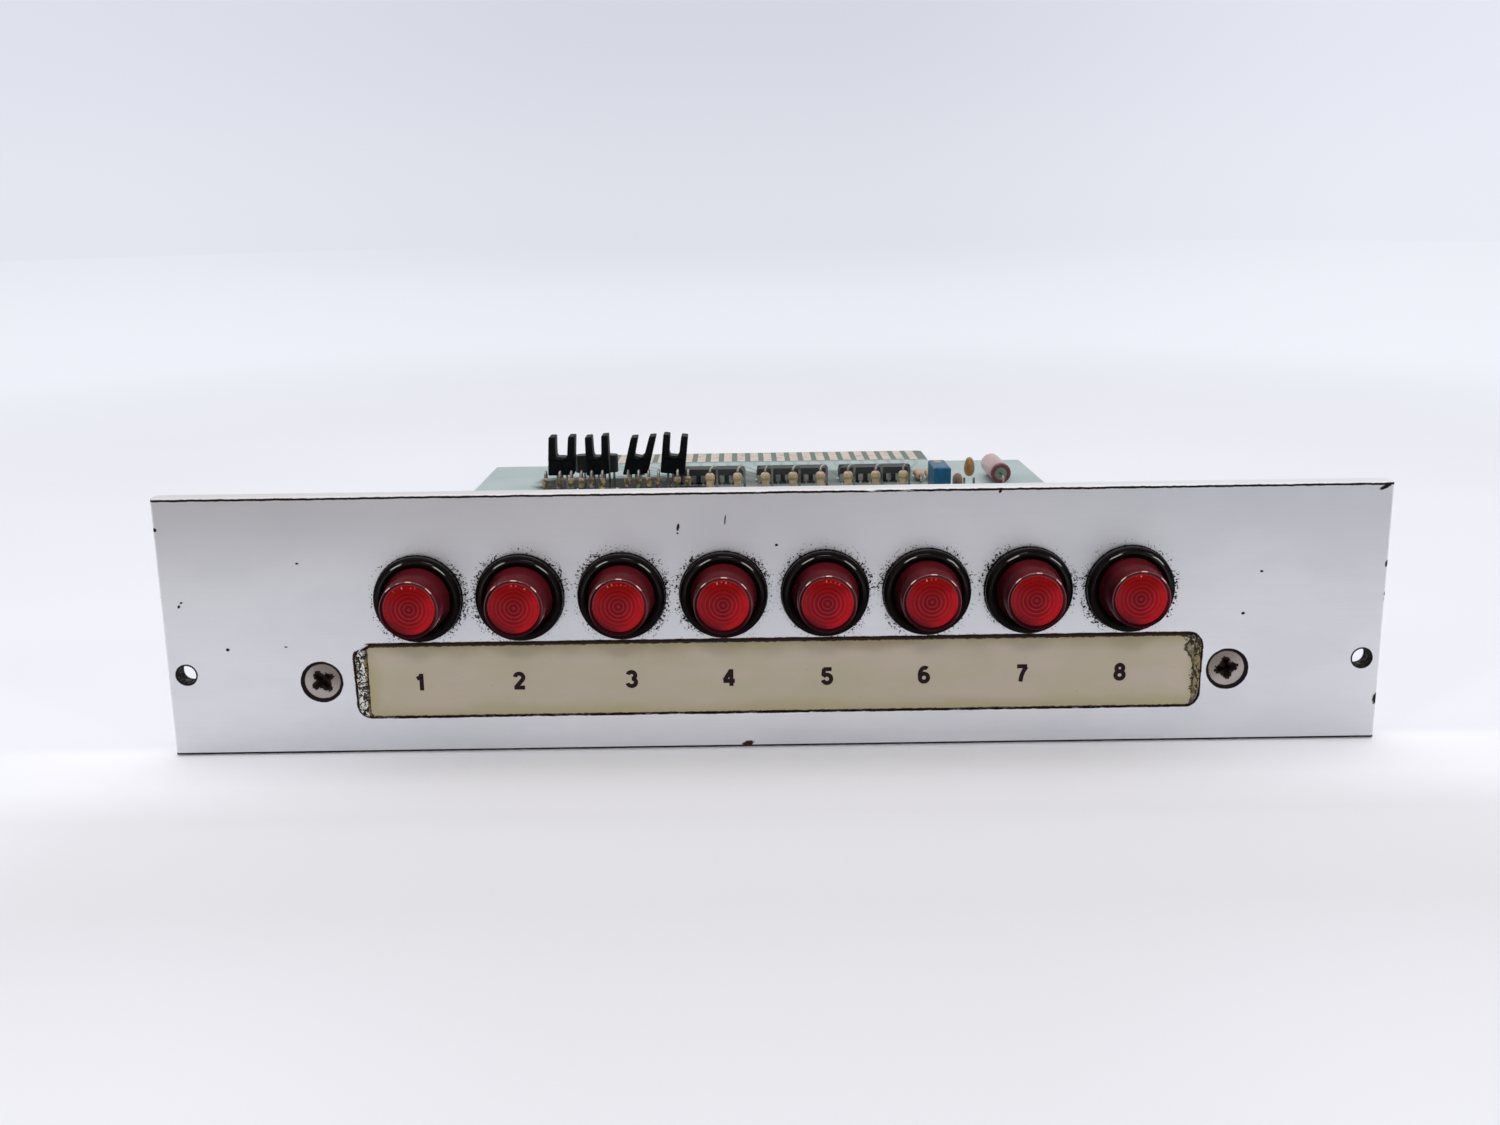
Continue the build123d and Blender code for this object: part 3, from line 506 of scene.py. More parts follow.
        # A dirt ring round each fixing hole on the face, with painted shade down its wall.
        wall = (hole + wander * 0.2).rise(1.74, 1.64) * y.rise(-0.05, -0.2)
        thread = bench.noise((2.5, 1.2, 2.5), detail=3.0).rise(0.45, 0.7) * 0.18
        return line.most(smear).most(ring).most(wall * (1.0 - sunk * thread))

    def paint(self, bench: Bench) -> Signal:
        """Grain and clouding under grime, dark rims, nicks and dark edges, with painted shade that greys the
        face towards its top left.
        """
        x, y, z = bench.axes()
        grain = bench.noise((0.05, 3.0, 5.0), detail=5.0, roughness=0.7)
        cloud = bench.noise((0.03, 0.05, 0.06), detail=4.0)
        scratch = bench.noise((0.03, 2.0, 9.0), detail=2.0).rise(0.66, 0.74)
        rub = bench.noise((0.5, 1.0, 0.8), detail=5.0, roughness=0.7)
        ragged = bench.noise(2.5, detail=3.0) - 0.5
        face = y.rise(self.front + 0.1, self.front + 0.02)
        marks = self.grime(bench, x, z) * face
        for nick in self.nicks:
            marks = marks.most(nick.mask(x, z, ragged))
        marks = marks.most(self.edges(bench, x, y, z)).most(self.rim_dirt_and_shade(bench, x, y, z)).least(1.0)
        by_label = (z - self.pocket_top).rise(0.5, 0.3) * (abs(x) - self.pocket_half).rise(1.0, 0.0)
        brown = by_label * rub.rise(0.35, 0.6) * 0.9
        # The marks' dark colour, which also paints the shade in the fixing holes and along the pocket's top.
        dirt = bench.blend((0.012, 0.007, 0.007), (0.050, 0.020, 0.010), brown)
        clean = bench.blend((0.77, 0.77, 0.80), (0.84, 0.84, 0.86), cloud.rise(0.35, 0.65))
        # Painted shade: the face turns a duller grey towards its top and its left.
        painted_top_shade = z.rise(10.0, self.top) * x.rise(70.0, -30.0)
        clean = bench.blend(clean, (0.66, 0.635, 0.635), painted_top_shade * 0.65)
        worn = bench.blend(clean, (0.68, 0.67, 0.68), grain.rise(0.45, 0.75) * 0.15)
        return bench.principled({
            "Base Color": bench.blend(worn, dirt, marks),
            "Metallic": 0.86 - marks * 0.86,
            "Specular IOR Level": 0.12,
            "Roughness": grain * 0.06 + cloud * 0.1 + rub * 0.06 - scratch * 0.04 + marks * 0.3 + 0.32,
            "Normal": bench.bump(grain * 0.3 + scratch * 0.15 - marks * 0.8, 0.01),
        })


@dataclass(frozen=True)
class LabelFinish(Finish):
    """Aged cream strip, yellowed at its ends and edges, stained brown and dark along its rim, with painted
    shadow along its top.
    """

    left: float
    right: float
    top: float
    bottom: float

    def paint(self, bench: Bench) -> Signal:
        """Colour wanders over the strip and turns yellow, brown or dark with distance from its outline.

        At the right end, past a jagged line with a bell-shaped bite, the strip's surface is gone and olive.
        """
        x, _, z = bench.axes()
        past, above = x - self.right, z - self.top
        wander = bench.noise((0.07, 0.3, 0.18), detail=4.0)
        fine = bench.noise(1.6, detail=4.0)
        edge_across = (x - self.left).least(past * -1.0)
        inside = (above * -1.0).least(z - self.bottom).least(edge_across)
        body = bench.blend((0.49, 0.435, 0.315), (0.53, 0.45, 0.36), wander.rise(0.35, 0.65))
        edge = inside + (wander - 0.5) * 2.4
        yellow = bench.blend(body, (0.42, 0.36, 0.20), edge.rise(2.6, 0.2) * 0.75)
        spread = ((x - 15.0) / 9.0) ** 2.0 + (above / 2.4) ** 2.0
        stain = (spread + (wander - 0.5) * 1.6).rise(1.2, 0.1) + above.rise(-1.3, 0.2) * fine.rise(0.4, 0.7)
        stained = bench.blend(yellow, (0.30, 0.21, 0.12), stain.least(1.0) * 0.5)
        jag = bench.noise(1.4, detail=5.0, roughness=0.78) - 0.5
        bite = ((above + 2.2) / 1.35) ** 2.0
        past_tear = past + 0.85 + (bite * -1.0).maths("EXPONENT") * 1.25 + jag * 2.2
        past_tear = past_tear.most((above + 0.3) * 1.5 + (past + 2.6) * 0.5 + jag * 1.2)
        end = past.rise(-5.0, -4.0)
        olive = bench.blend((0.155, 0.125, 0.075), (0.27, 0.235, 0.145), fine.rise(0.42, 0.6))
        stained = bench.blend(stained, olive, past_tear.rise(-0.05, 0.05) * end)
        crumb = bench.noise(2.6, detail=3.0, roughness=0.7)
        corner = (past + above + jag).rise(-3.6, -2.6) * end
        stained = bench.blend(stained, (0.62, 0.60, 0.52), corner * crumb.rise(0.44, 0.38) * 0.8)
        outline = (abs(past_tear) + (fine - 0.5) * 0.4).rise(0.2, 0.1) * end
        rim = (inside + (fine - 0.5) * 0.35).rise(0.2, 0.08)
        # Painted shadow and dirt: a dark line just under the strip's top edge, where the pocket's rim shades
        # it.
        top_shadow_and_dirt = ((fine - 0.5) * 0.5 - above).rise(0.42, 0.24)
        torn = corner.most(edge_across.rise(0.55, 0.3) * end) * crumb.rise(0.5, 0.54)
        dark = outline.most(rim).most(top_shadow_and_dirt).most(torn)
        speck = (bench.noise(2.2, detail=2.0) - 0.77).rise(0.0, 0.03)
        return bench.principled({
            "Base Color": bench.blend(stained, (0.026, 0.015, 0.010), dark.most(speck * 0.7)),
            "Roughness": fine * 0.2 + 0.45,
            "Specular IOR Level": 0.25,
            "Normal": bench.bump(fine + dark * 0.8, 0.02),
        })


@dataclass(frozen=True)
class ResidueFinish(Finish):
    """Old adhesive, crinkled and cracked, with dirt in its folds."""

    def paint(self, bench: Bench) -> Signal:
        """The folds stored on the piece take the dirt; crests are whitish where fresh and olive elsewhere."""
        fold = bench.mark("fold")
        fine = bench.noise(1.7, detail=2.0, roughness=0.6)
        scraps = bench.noise(0.8, detail=2.5, roughness=0.6)
        pale = (bench.mark("fresh") + (scraps - 0.5) * 0.9).rise(0.42, 0.50)
        cracks = abs(fine - 0.5).rise(0.045, 0.025) * (pale * 0.6 + 0.4)
        torn = abs(scraps - 0.5).rise(0.05, 0.03).most(cracks)
        dirt = (fold + (fine - 0.5) * 0.6).rise(0.22, 0.14).most(torn)
        dirt = dirt.most(bench.mark("edge").rise(0.80, 0.95))
        crest = bench.blend((0.30, 0.24, 0.11), (0.80, 0.80, 0.72), pale)
        return bench.principled({
            "Base Color": bench.blend(crest, (0.022, 0.014, 0.009), dirt),
            "Roughness": fine * 0.2 + 0.3,
            "Specular IOR Level": 0.3,
            "Normal": bench.bump(fine, 0.05),
        })


@dataclass(frozen=True)
class ScrewFinish(Finish):
    """Dull nickel turned in rings, painted darker towards the top and inwards as shade, with a dark blot over
    the cross recess.
    """

    screw_x: float
    screw_z: float
    ring_pitch: float = 0.42

    def paint(self, bench: Bench) -> Signal:
        """Rings follow the distance from the axis; a ragged blot of four lobes fills the middle."""
        x, _, z = bench.axes()
        across, up = abs(x) - self.screw_x, z - self.screw_z
        reach = across.diagonal(up)
        rings = (reach * (2 * math.pi / self.ring_pitch)).sine() * 0.5 + 0.5
        patch = bench.noise(0.5, detail=4.0)
        ragged = bench.noise(1.9, detail=4.0, roughness=0.7) - 0.5
        lobes = (up.angle(across) * 4.0 + x.rise(1.0, -1.0) * math.pi + 0.9).sine() * 0.34
        blot = (reach + ragged * 1.7 - lobes).rise(1.62, 1.5)
        dark = blot.most((reach + ragged * 0.2).rise(2.66, 2.74))
        # Painted shade: the head is darker towards its top and towards the panel's middle.
        shade = (up - across * 0.7 + ragged * 3.0).rise(-2.0, 2.6)
        colour = bench.blend((0.47, 0.42, 0.385), (0.20, 0.165, 0.135), shade * 0.8 + rings * 0.12)
        return bench.principled({
            "Base Color": bench.blend(colour, (0.010, 0.004, 0.003), dark),
            "Metallic": 1.0 - dark,
            "Specular IOR Level": 0.12,
            "Roughness": rings * 0.08 + patch * 0.2 + 0.24,
            "Normal": bench.bump(rings + blot, 0.01),
        })


@dataclass(frozen=True)
class BoardFinish(Finish):
    """Pale lacquered laminate: a faint woven pattern under the surface, with two patches of painted shadow.
    """

    rear: float
    colour: Colour = (0.36, 0.45, 0.45)
    shade: Colour = (0.28, 0.38, 0.38)
    weave_pitch: float = 0.9

    def paint(self, bench: Bench) -> Signal:
        """Two crossed waves make the weave and noise clouds the lacquer.

        Painted shadow lies under the heat sinks, near black, and more lightly round the rear circuits.
        Between the contacts, at the tongue's end, the laminate is bare and dull.
        """
        x, y, _ = bench.axes()
        wave = 2 * math.pi / self.weave_pitch
        weave = (x * wave).sine() * (y * wave).sine() * 0.5 + 0.5
        cloud = bench.noise(0.05, detail=5.0)
        dust = bench.noise(2.2, detail=3.0, roughness=0.7)
        colour = bench.blend(self.colour, self.shade, (cloud + (weave - 0.5) * 0.12).rise(0.35, 0.7))
        colour = bench.blend(colour, (0.52, 0.55, 0.52), dust.rise(0.62, 0.8) * 0.35)
        ragged = (bench.noise(0.28, detail=4.0) - 0.5) * 0.9
        # Where shadow is painted: under the heat sinks and round the rear circuits, with ragged edges.
        sinks = x.rise(-66.0, -56.0) * x.rise(-8.0, -16.0) * y.rise(160.0, 174.0) * y.rise(204.0, 188.0)
        circuits = x.rise(-26.0, -16.0) * x.rise(52.0, 42.0) * y.rise(168.0, 180.0) * y.rise(206.0, 196.0)
        painted_shadow = ((sinks + ragged).rise(0.2, 1.0) * 0.95).most((circuits + ragged).rise(0.2, 1.0) * 0.65)
        # The painted shadow's colour, near black under the sinks.
        black = bench.blend((0.045, 0.052, 0.045), (0.014, 0.012, 0.010), sinks)
        bare = (y - self.rear).rise(-19.0, -15.0) * 0.85
        lacquered = bench.principled({
            "Base Color": colour,
            "Roughness": dust * 0.25 + 0.28,
            "Normal": bench.bump(weave * 0.4 + dust * 0.4, 0.012),
        })
        bare_and_shadowed = bench.principled({
            "Base Color": bench.blend((0.16, 0.19, 0.155), black, painted_shadow),
            "Roughness": dust * 0.2 + 0.6,
            "IOR": 1.04,
        })
        return bench.node("ShaderNodeMixShader", {}, {0: painted_shadow.most(bare), 1: lacquered, 2: bare_and_shadowed})


@dataclass(frozen=True)
class LensFinish(Finish):
    """Deep red acrylic with painted light: a bright ribbed face, dark wine sides and painted highlights on
    the rim.
    """

    front: float
    face_radius: float
    lamp_height: float
    ring_pitch: float
    flutes: int

    def painted_face_light(self, bench: Bench, across: Signal, up: Signal, reach: Signal, haze: Signal) -> Signal:
        """The face, all painted light: darker in the middle and to the lower left, brightest at the right,
        lighter ring crests low down, darker between the rings, and painted glints along the top.

        Args:
            bench: The material's tree.
            across: Distance across from the lens's axis.
            up: Distance up from it.
            reach: Distance from it.
            haze: Slow noise.

        Returns:
            The colour.
        """
        ring = (reach * (2 * math.pi / self.ring_pitch)).sine().rise(0.1, 0.95)
        # Painted light on the face: darker in the middle, brightest to the right, darker to the lower left
        # and glowing along the top.
        outer = (reach + (haze - 0.5) * 2.0).rise(0.3, 2.6)
        body = bench.blend((0.20, 0.011, 0.016), (0.30, 0.014, 0.020), outer)
        body = bench.blend(body, (0.48, 0.013, 0.019), (across - up * 0.3 + haze).rise(1.0, 3.4))
        body = bench.blend(body, (0.12, 0.013, 0.018), (haze - up * 0.9 - across * 0.6).rise(3.2, 4.6))
        glow = bench.blend(body, (0.29, 0.004, 0.003), (up - reach * 0.2 + haze).rise(0.6, 2.6) * 0.9)
        # Painted highlights on the ring crests low down, and painted shade between the rings.
        light = ring * reach.rise(3.1, 1.6) * up.rise(2.2, -0.4) * 0.35
        ringed = bench.blend(glow, (0.44, 0.045, 0.055), light)
        ringed = bench.blend(ringed, (0.10, 0.002, 0.004), (1.0 - ring) * reach.rise(3.4, 2.4) * 0.35)
        # Painted glints on the flutes along the top of the face.
        belt = abs(reach - (self.face_radius - 0.42)).rise(0.24, 0.08)
        scatter = (up + (bench.noise(0.8, detail=1.0) - 0.5) * 5.0).rise(3.2, 4.0)
        spark = (up.angle(across) * self.flutes).sine().rise(0.35, 0.95) * belt * scatter
        return bench.blend(ringed, (1.0, 0.30, 0.26), spark)

    def paint(self, bench: Bench) -> Signal:
        """Colour follows the distance from the lens's axis, the angle round it and the depth.

        It is painted light: a bright face, sides that lighten towards the upper right, a painted highlight
        round the rim, brightest at the top, and painted highlight arcs on it.
        """
        x, y, z = bench.axes()
        across, up, reach = about_lamp(x, z, self.lamp_height)
        depth, turn = y - self.front, up.angle(across)
        haze = bench.noise(0.9, detail=3.0)
        face = depth.rise(0.75, 0.3) * (reach - self.face_radius).rise(0.02, -0.12)
        rim = abs(reach - self.face_radius - 0.42).rise(0.09, 0.03) * depth.rise(0.3, 0.12)
        streak = abs(turn + haze * 0.3 + 0.55).rise(0.45, 0.25) * depth.rise(0.3, 0.9)
        # Painted light: the rim's painted highlight is brightest at the top, and the sides lighten towards
        # the upper right.
        high = (up / reach).rise(-0.85, 0.6) * 0.85 + 0.05
        towards = (up + across * 0.8) / self.face_radius
        side = bench.blend((0.030, 0.003, 0.005), (0.090, 0.008, 0.012), (towards + haze).rise(0.1, 1.5))
        colour = bench.blend(side, self.painted_face_light(bench, across, up, reach, haze), face)
        colour = bench.blend(colour, (0.15, 0.05, 0.055), rim * high)
        # Painted highlight arcs on the rim.
        arcs = lit_arcs(turn, (0.75, 1.52, 2.30), (0.16, 0.13, 0.14)) * rim
        border = face.rise(0.98, 0.0) * face.rise(0.0, 0.1)
        return bench.principled({
            "Base Color": bench.blend(colour, (0.95, 0.60, 0.52), arcs),
            "Roughness": haze * 0.04 + 0.04,
            "IOR": 1.06,
            "Coat Weight": (rim * high * 0.6).most(border * high).most(streak * 0.5),
            "Coat Roughness": 0.03,
            "Coat IOR": 2.0,
            "Normal": bench.bump(haze, 0.003),
        })


@dataclass(frozen=True)
class HolderFinish(Finish):
    """Black moulded plastic, dull but for a polished line that runs round the top of each bezel, with painted
    highlight arcs on it.
    """

    lamp_height: float
    panel_front: float
    line_radius: float = 5.75
    highlight_arc_radius: float = 5.95

    def paint(self, bench: Bench) -> Signal:
        """The polished line lies where the bezel turns over, at a fixed distance from the lamp's axis; two
        short painted highlight arcs lie near its top.
        """
        x, y, z = bench.axes()
        across, up, reach = about_lamp(x, z, self.lamp_height)
        wander = bench.noise(0.5, detail=4.0)
        proud = (y - self.panel_front).rise(0.0, -0.4)
        line = abs(reach - self.line_radius + (wander - 0.5) * 0.3).rise(0.42, 0.22) * proud
        line = line * up.rise(-1.0, 3.0)
        # Painted highlight arcs: a thin ring near the bezel's top, lit at two places.
        fine = abs(reach - self.highlight_arc_radius + (wander - 0.5) * 0.25).rise(0.11, 0.03) * proud
        arcs = lit_arcs(up.angle(across), (0.90, 2.04), (0.22, 0.20)) * fine
        black = bench.blend((0.003, 0.0015, 0.0015), (0.008, 0.005, 0.005), wander)
        return bench.principled({
            "Base Color": bench.blend(black, (0.55, 0.55, 0.52), arcs),
            "Roughness": wander * 0.12 + 0.16 - line * 0.08,
            "IOR": 1.12,
            "Coat Weight": line * 0.5,
            "Coat Roughness": 0.05,
            "Normal": bench.bump(wander, 0.004),
        })


@dataclass(frozen=True)
class BandedFinish(Finish):
    """A lacquered resistor body with colour bands round it, and dark mottle on it: dirt, and on the small
    resistors also painted shade.
    """

    lacquer: Colour
    dirt: float
    bands: tuple[float, ...] = (0.2, 0.36, 0.52, 0.8)
    band_width: float = 0.07

    def paint(self, bench: Bench) -> Signal:
        """Each band takes its colour from a palette, by the piece's own number."""
        along, which = bench.mark("along"), bench.mark("which")
        code = (
            (0.0, (0.02, 0.015, 0.015)), (0.13, (0.16, 0.05, 0.02)), (0.26, (0.50, 0.02, 0.01)),
            (0.39, (0.70, 0.20, 0.02)), (0.52, (0.68, 0.52, 0.04)), (0.65, (0.04, 0.24, 0.06)),
            (0.78, (0.03, 0.08, 0.35)), (0.90, (0.25, 0.06, 0.30)),
        )
        wander = bench.noise(1.2, detail=3.0)
        colour = bench.blend(self.lacquer, tuple(0.78 * part for part in self.lacquer), wander)
        for number, place in enumerate(self.bands):
            inside = abs(along - place).rise(self.band_width / 2 + 0.012, self.band_width / 2 - 0.012)
            pick = (which * (0.37 + 0.11 * number) + 0.29 * number).maths("FRACT")
            last = number == len(self.bands) - 1
            band = (0.42, 0.28, 0.07) if last else bench.palette(pick, code, "CONSTANT")
            colour = bench.blend(colour, band, inside)
        dirt = bench.noise(0.9, detail=4.0).rise(0.40, 0.58) * self.dirt
        return bench.principled({
            "Base Color": bench.blend(colour, (0.022, 0.016, 0.012), dirt),
            "Roughness": wander * 0.15 + 0.24 + dirt * 0.3,
            "Normal": bench.bump(wander, 0.02),
        })


@dataclass(frozen=True)
class WireFinish(Finish):
    """Plastic insulation, each lamp's wire in its own colour."""

    def paint(self, bench: Bench) -> Signal:
        """The colour steps with X, once for every lamp."""
        x, _, _ = bench.axes()
        share = (x / LAMP_PITCH + LAMP_COUNT / 2) / LAMP_COUNT
        colours = (
            (0.10, 0.035, 0.015), (0.50, 0.02, 0.01), (0.66, 0.20, 0.02), (0.66, 0.52, 0.06),
            (0.05, 0.25, 0.08), (0.03, 0.10, 0.36), (0.23, 0.08, 0.30), (0.34, 0.34, 0.33),
        )
        stops = tuple((index / LAMP_COUNT, colour) for index, colour in enumerate(colours))
        skin = bench.noise(1.5, detail=3.0)
        dusty = bench.blend(bench.palette(share, stops, "CONSTANT"), (0.34, 0.32, 0.30), skin * 0.22)
        return bench.principled({
            "Base Color": dusty,
            "Roughness": skin * 0.2 + 0.32,
            "Normal": bench.bump(skin, 0.02),
        })


@dataclass(frozen=True)
class ShellFinish(Finish):
    """A turned body whose zones, stored on its vertices, step through a list of colours."""

    zones: tuple[Colour, ...]
    metal_zone: int = -1
    roughness: float = 0.3
    gloss: float = 0.5

    def paint(self, bench: Bench) -> Signal:
        """The zone's number picks the colour; noise dulls it."""
        zone = bench.mark("zone")
        count = len(self.zones)
        stops = tuple(((index / count), colour) for index, colour in enumerate(self.zones))
        wander = bench.noise(0.8, detail=4.0)
        colour = bench.palette((zone + 0.5) / count, stops, "CONSTANT")
        metal = abs(zone - self.metal_zone).rise(0.55, 0.45) if self.metal_zone >= 0 else 0.0
        return bench.principled({
            "Base Color": bench.blend(colour, (0.10, 0.09, 0.08), wander.rise(0.5, 0.8) * 0.3),
            "Metallic": metal,
            "Roughness": wander * 0.16 + self.roughness,
            "Coat Weight": self.gloss,
            "Coat Roughness": 0.1,
            "Normal": bench.bump(wander, 0.03),
        })


@dataclass(frozen=True)
class GlassFinish(Finish):
    """Thin clear bulb glass with a trace of grey."""

    def paint(self, bench: Bench) -> Signal:
        """Clear refraction with a slightly uneven surface."""
        wave = bench.noise(0.7, detail=2.0)
        return bench.principled({
            "Base Color": bench.blend((0.93, 0.94, 0.93), (0.85, 0.86, 0.86), wave),
            "Roughness": wave * 0.04 + 0.01,
            "IOR": 1.45,
            "Transmission Weight": 1.0,
            "Normal": bench.bump(wave, 0.01),
        })


class Finishes:
    """Every plain finish that the card uses, under the name of what it covers."""

    moulding = Plastic("moulding_black_matt", "black_moulding", (0.020, 0.024, 0.023), (0.036, 0.040, 0.038),
                       roughness=0.52, relief=0.02, relief_scale=6.0, shine=0.2)
    ceramic = Plastic("disc_brown_dip", "disc_coating", (0.19, 0.10, 0.055), (0.14, 0.075, 0.045),
                      roughness=0.42, relief=0.04, relief_scale=1.6)
    trimmer_blue = Plastic("trimmer_blue_moulding", "blue_moulding", (0.005, 0.095, 0.19),
                           (0.004, 0.07, 0.15), roughness=0.4, relief=0.015, shine=0.3)
    bead = Plastic("bead_ochre_dip", "ochre_dip", (0.36, 0.18, 0.03), (0.22, 0.10, 0.02),
                   roughness=0.3, relief=0.03, relief_scale=1.1, gloss=0.3)
    ink = Plastic("numeral_ink", "aged_label", (0.010, 0.004, 0.006), (0.028, 0.014, 0.016),
                  roughness=0.55, mottle=2.5, relief_scale=5.0, shine=0.1)
    track_bare = Metal("pad_tinned", "tinned_metal", (0.56, 0.56, 0.53), (0.30, 0.30, 0.27), roughness=0.4)
    filament = Metal("filament_wire", "bulb_glass", (0.35, 0.34, 0.33), (0.16, 0.15, 0.15))
    zinc = Metal("zinc_plate", "zinc_steel", (0.62, 0.62, 0.59), (0.42, 0.40, 0.34), roughness=0.34)
    mill_aluminium = Metal("mill_aluminium", "plain_aluminium", (0.72, 0.73, 0.74), (0.52, 0.52, 0.53),
                           roughness=0.4, grain=(0.15, 3.0, 3.0))
    gold = Metal("contact_gold", "gold_contact", (0.72, 0.62, 0.52), (0.42, 0.38, 0.32),
                 roughness=0.35, grain=(3.0, 0.15, 3.0), tarnish_share=0.8)
    tinned = Metal("tinned_wire", "tinned_metal", (0.34, 0.33, 0.31), (0.07, 0.065, 0.06),
                   roughness=0.36, tarnish_share=0.9)
    solder = Metal("solder_bright", "tinned_metal", (0.62, 0.62, 0.60), (0.34, 0.32, 0.28),
                   roughness=0.26, relief=0.03)
    brass = Metal("trimmer_brass", "brass_screw", (0.72, 0.50, 0.20), (0.40, 0.27, 0.12), roughness=0.32)
    sink = Plastic("sink_black_anodised", "black_anodised", (0.002, 0.0025, 0.0035), (0.005, 0.006, 0.007),
                   roughness=0.5, relief=0.02, relief_scale=3.0, index=1.15)


# ================================================================ shapes
class Axis(Enum):
    """Which way a turned shape's axis points, with the turn that takes it there from Y."""

    ALONG_Y = (0.0, 0.0, 0.0)
    ALONG_Z = (math.pi / 2, 0.0, 0.0)
    ALONG_X = (0.0, 0.0, -math.pi / 2)


@dataclass
class Shape:
    """Vertices as an array in metres, faces as arrays of vertex numbers, and marks on the vertices."""

    points: np.ndarray
    faces: list[np.ndarray]
    marks: dict[str, np.ndarray] = field(default_factory=dict)

    def moved(self, offset: Sequence[float]) -> "Shape":
        """The same shape somewhere else."""
        return Shape(self.points + np.asarray(offset, float), self.faces, self.marks)

    def turned(self, angles: Sequence[float]) -> "Shape":
        """The same shape turned about the origin by X, Y and Z angles in radians."""
        rotation = np.array(Euler(angles).to_matrix())
        return Shape(self.points @ rotation.T, self.faces, self.marks)

    def along(self, axis: Axis) -> "Shape":
        """The same shape with its own Y axis laid along another axis."""
        return self.turned(axis.value)

    def marked(self, name: str, value: float | np.ndarray) -> "Shape":
        """The same shape with a number on every vertex."""
        marks = {**self.marks, name: np.broadcast_to(np.asarray(value, float), (len(self.points),))}
        return Shape(self.points, self.faces, marks)

    @staticmethod
    def joined(shapes: Sequence["Shape"]) -> "Shape":
        """Several shapes as one; all carry the same marks."""
        starts = np.cumsum([0] + [len(shape.points) for shape in shapes])
        faces = [block + start for shape, start in zip(shapes, starts) for block in shape.faces]
        marks = {name: np.concatenate([shape.marks[name] for shape in shapes]) for name in shapes[0].marks}
        return Shape(np.concatenate([shape.points for shape in shapes]), faces, marks)


def grid_faces(rows: int, columns: int, wrap_rows: bool = False, wrap_columns: bool = False) -> np.ndarray:
    """Four-cornered faces over a grid of vertices numbered row by row.

    Args:
        rows: Vertices down the grid.
        columns: Vertices across it.
        wrap_rows: Whether the last row meets the first.
        wrap_columns: Whether the last column meets the first.

    Returns:
        One row of four vertex numbers for each face.
    """
    row = np.arange(rows if wrap_rows else rows - 1)[:, None]
    column = np.arange(columns if wrap_columns else columns - 1)[None, :]
    next_row, next_column = (row + 1) % rows, (column + 1) % columns
    corners = (row * columns + column, row * columns + next_column,
               next_row * columns + next_column, next_row * columns + column)
    return np.stack(corners, -1).reshape(-1, 4)


def eased(corners: Sequence[tuple[float, float]], radii: Sequence[float], steps: int = 6) -> np.ndarray:
    """A profile whose corners are arcs tangent to both sides.

    The arc's ends lie radius / tan(half the corner's angle) from the corner, its centre lies on the bisector,
    and its points are spread evenly in angle between the two ends.

    Args:
        corners: (radius, along) pairs.
        radii: An arc's radius for each corner, 0 for a sharp one.
        steps: Points on each arc.

    Returns:
        The profile's points, two columns.
    """
    profile = []
    last = len(corners) - 1
    for index, (corner, radius) in enumerate(zip(np.asarray(corners, float), radii)):
        if not radius or index in (0, last):
            profile.append(corner[None])
            continue
        before, after = np.asarray(corners[index - 1]) - corner, np.asarray(corners[index + 1]) - corner
        before, after = before / np.linalg.norm(before), after / np.linalg.norm(after)
        half = math.acos(np.clip(before @ after, -1.0, 1.0)) / 2
        middle = (before + after) / np.linalg.norm(before + after)
        centre = corner + middle * radius / math.sin(half)
        start = corner + before * radius / math.tan(half) - centre
        end = corner + after * radius / math.tan(half) - centre
        sweep = math.pi - 2 * half
        share = np.linspace(0.0, 1.0, steps)[:, None]
        spread = np.sin((1 - share) * sweep) * start + np.sin(share * sweep) * end
        profile.append(centre + spread / math.sin(sweep))
    return np.concatenate(profile)


def lathe(
    profile: np.ndarray,
    segments: int = 48,
    lift: Callable[[np.ndarray, np.ndarray], np.ndarray] | None = None,
) -> Shape:
    """A profile turned about Y.

    A point at (radius, along) and angle a goes to (radius cos a, along + lift, radius sin a). A profile that
    ends where it starts makes a closed ring; one that ends on the axis is closed by its poles.

    Args:
        profile: (radius, along) pairs, two columns, in metres.
        segments: Steps round the axis.
        lift: Extra height along the axis as a function of radius and angle.

    Returns:
        The turned shape, with each vertex's share of the profile's length marked "along".
    """
    closed = bool(np.allclose(profile[0], profile[-1]))
    rings = profile[:-1] if closed else profile
    angle = np.linspace(0.0, 2 * math.pi, segments, endpoint=False)[None, :]
    radius, along = rings[:, :1], rings[:, 1:]
    height = along + (lift(radius, angle) if lift else 0.0 * angle)
    points = np.stack([radius * np.cos(angle), height, radius * np.sin(angle)], -1).reshape(-1, 3)
    share = (along - along.min()) / max(np.ptp(along), 1e-9)
    shape = Shape(points, [grid_faces(len(rings), segments, closed, True)])
    return shape.marked("along", np.broadcast_to(share, (len(rings), segments)).ravel())


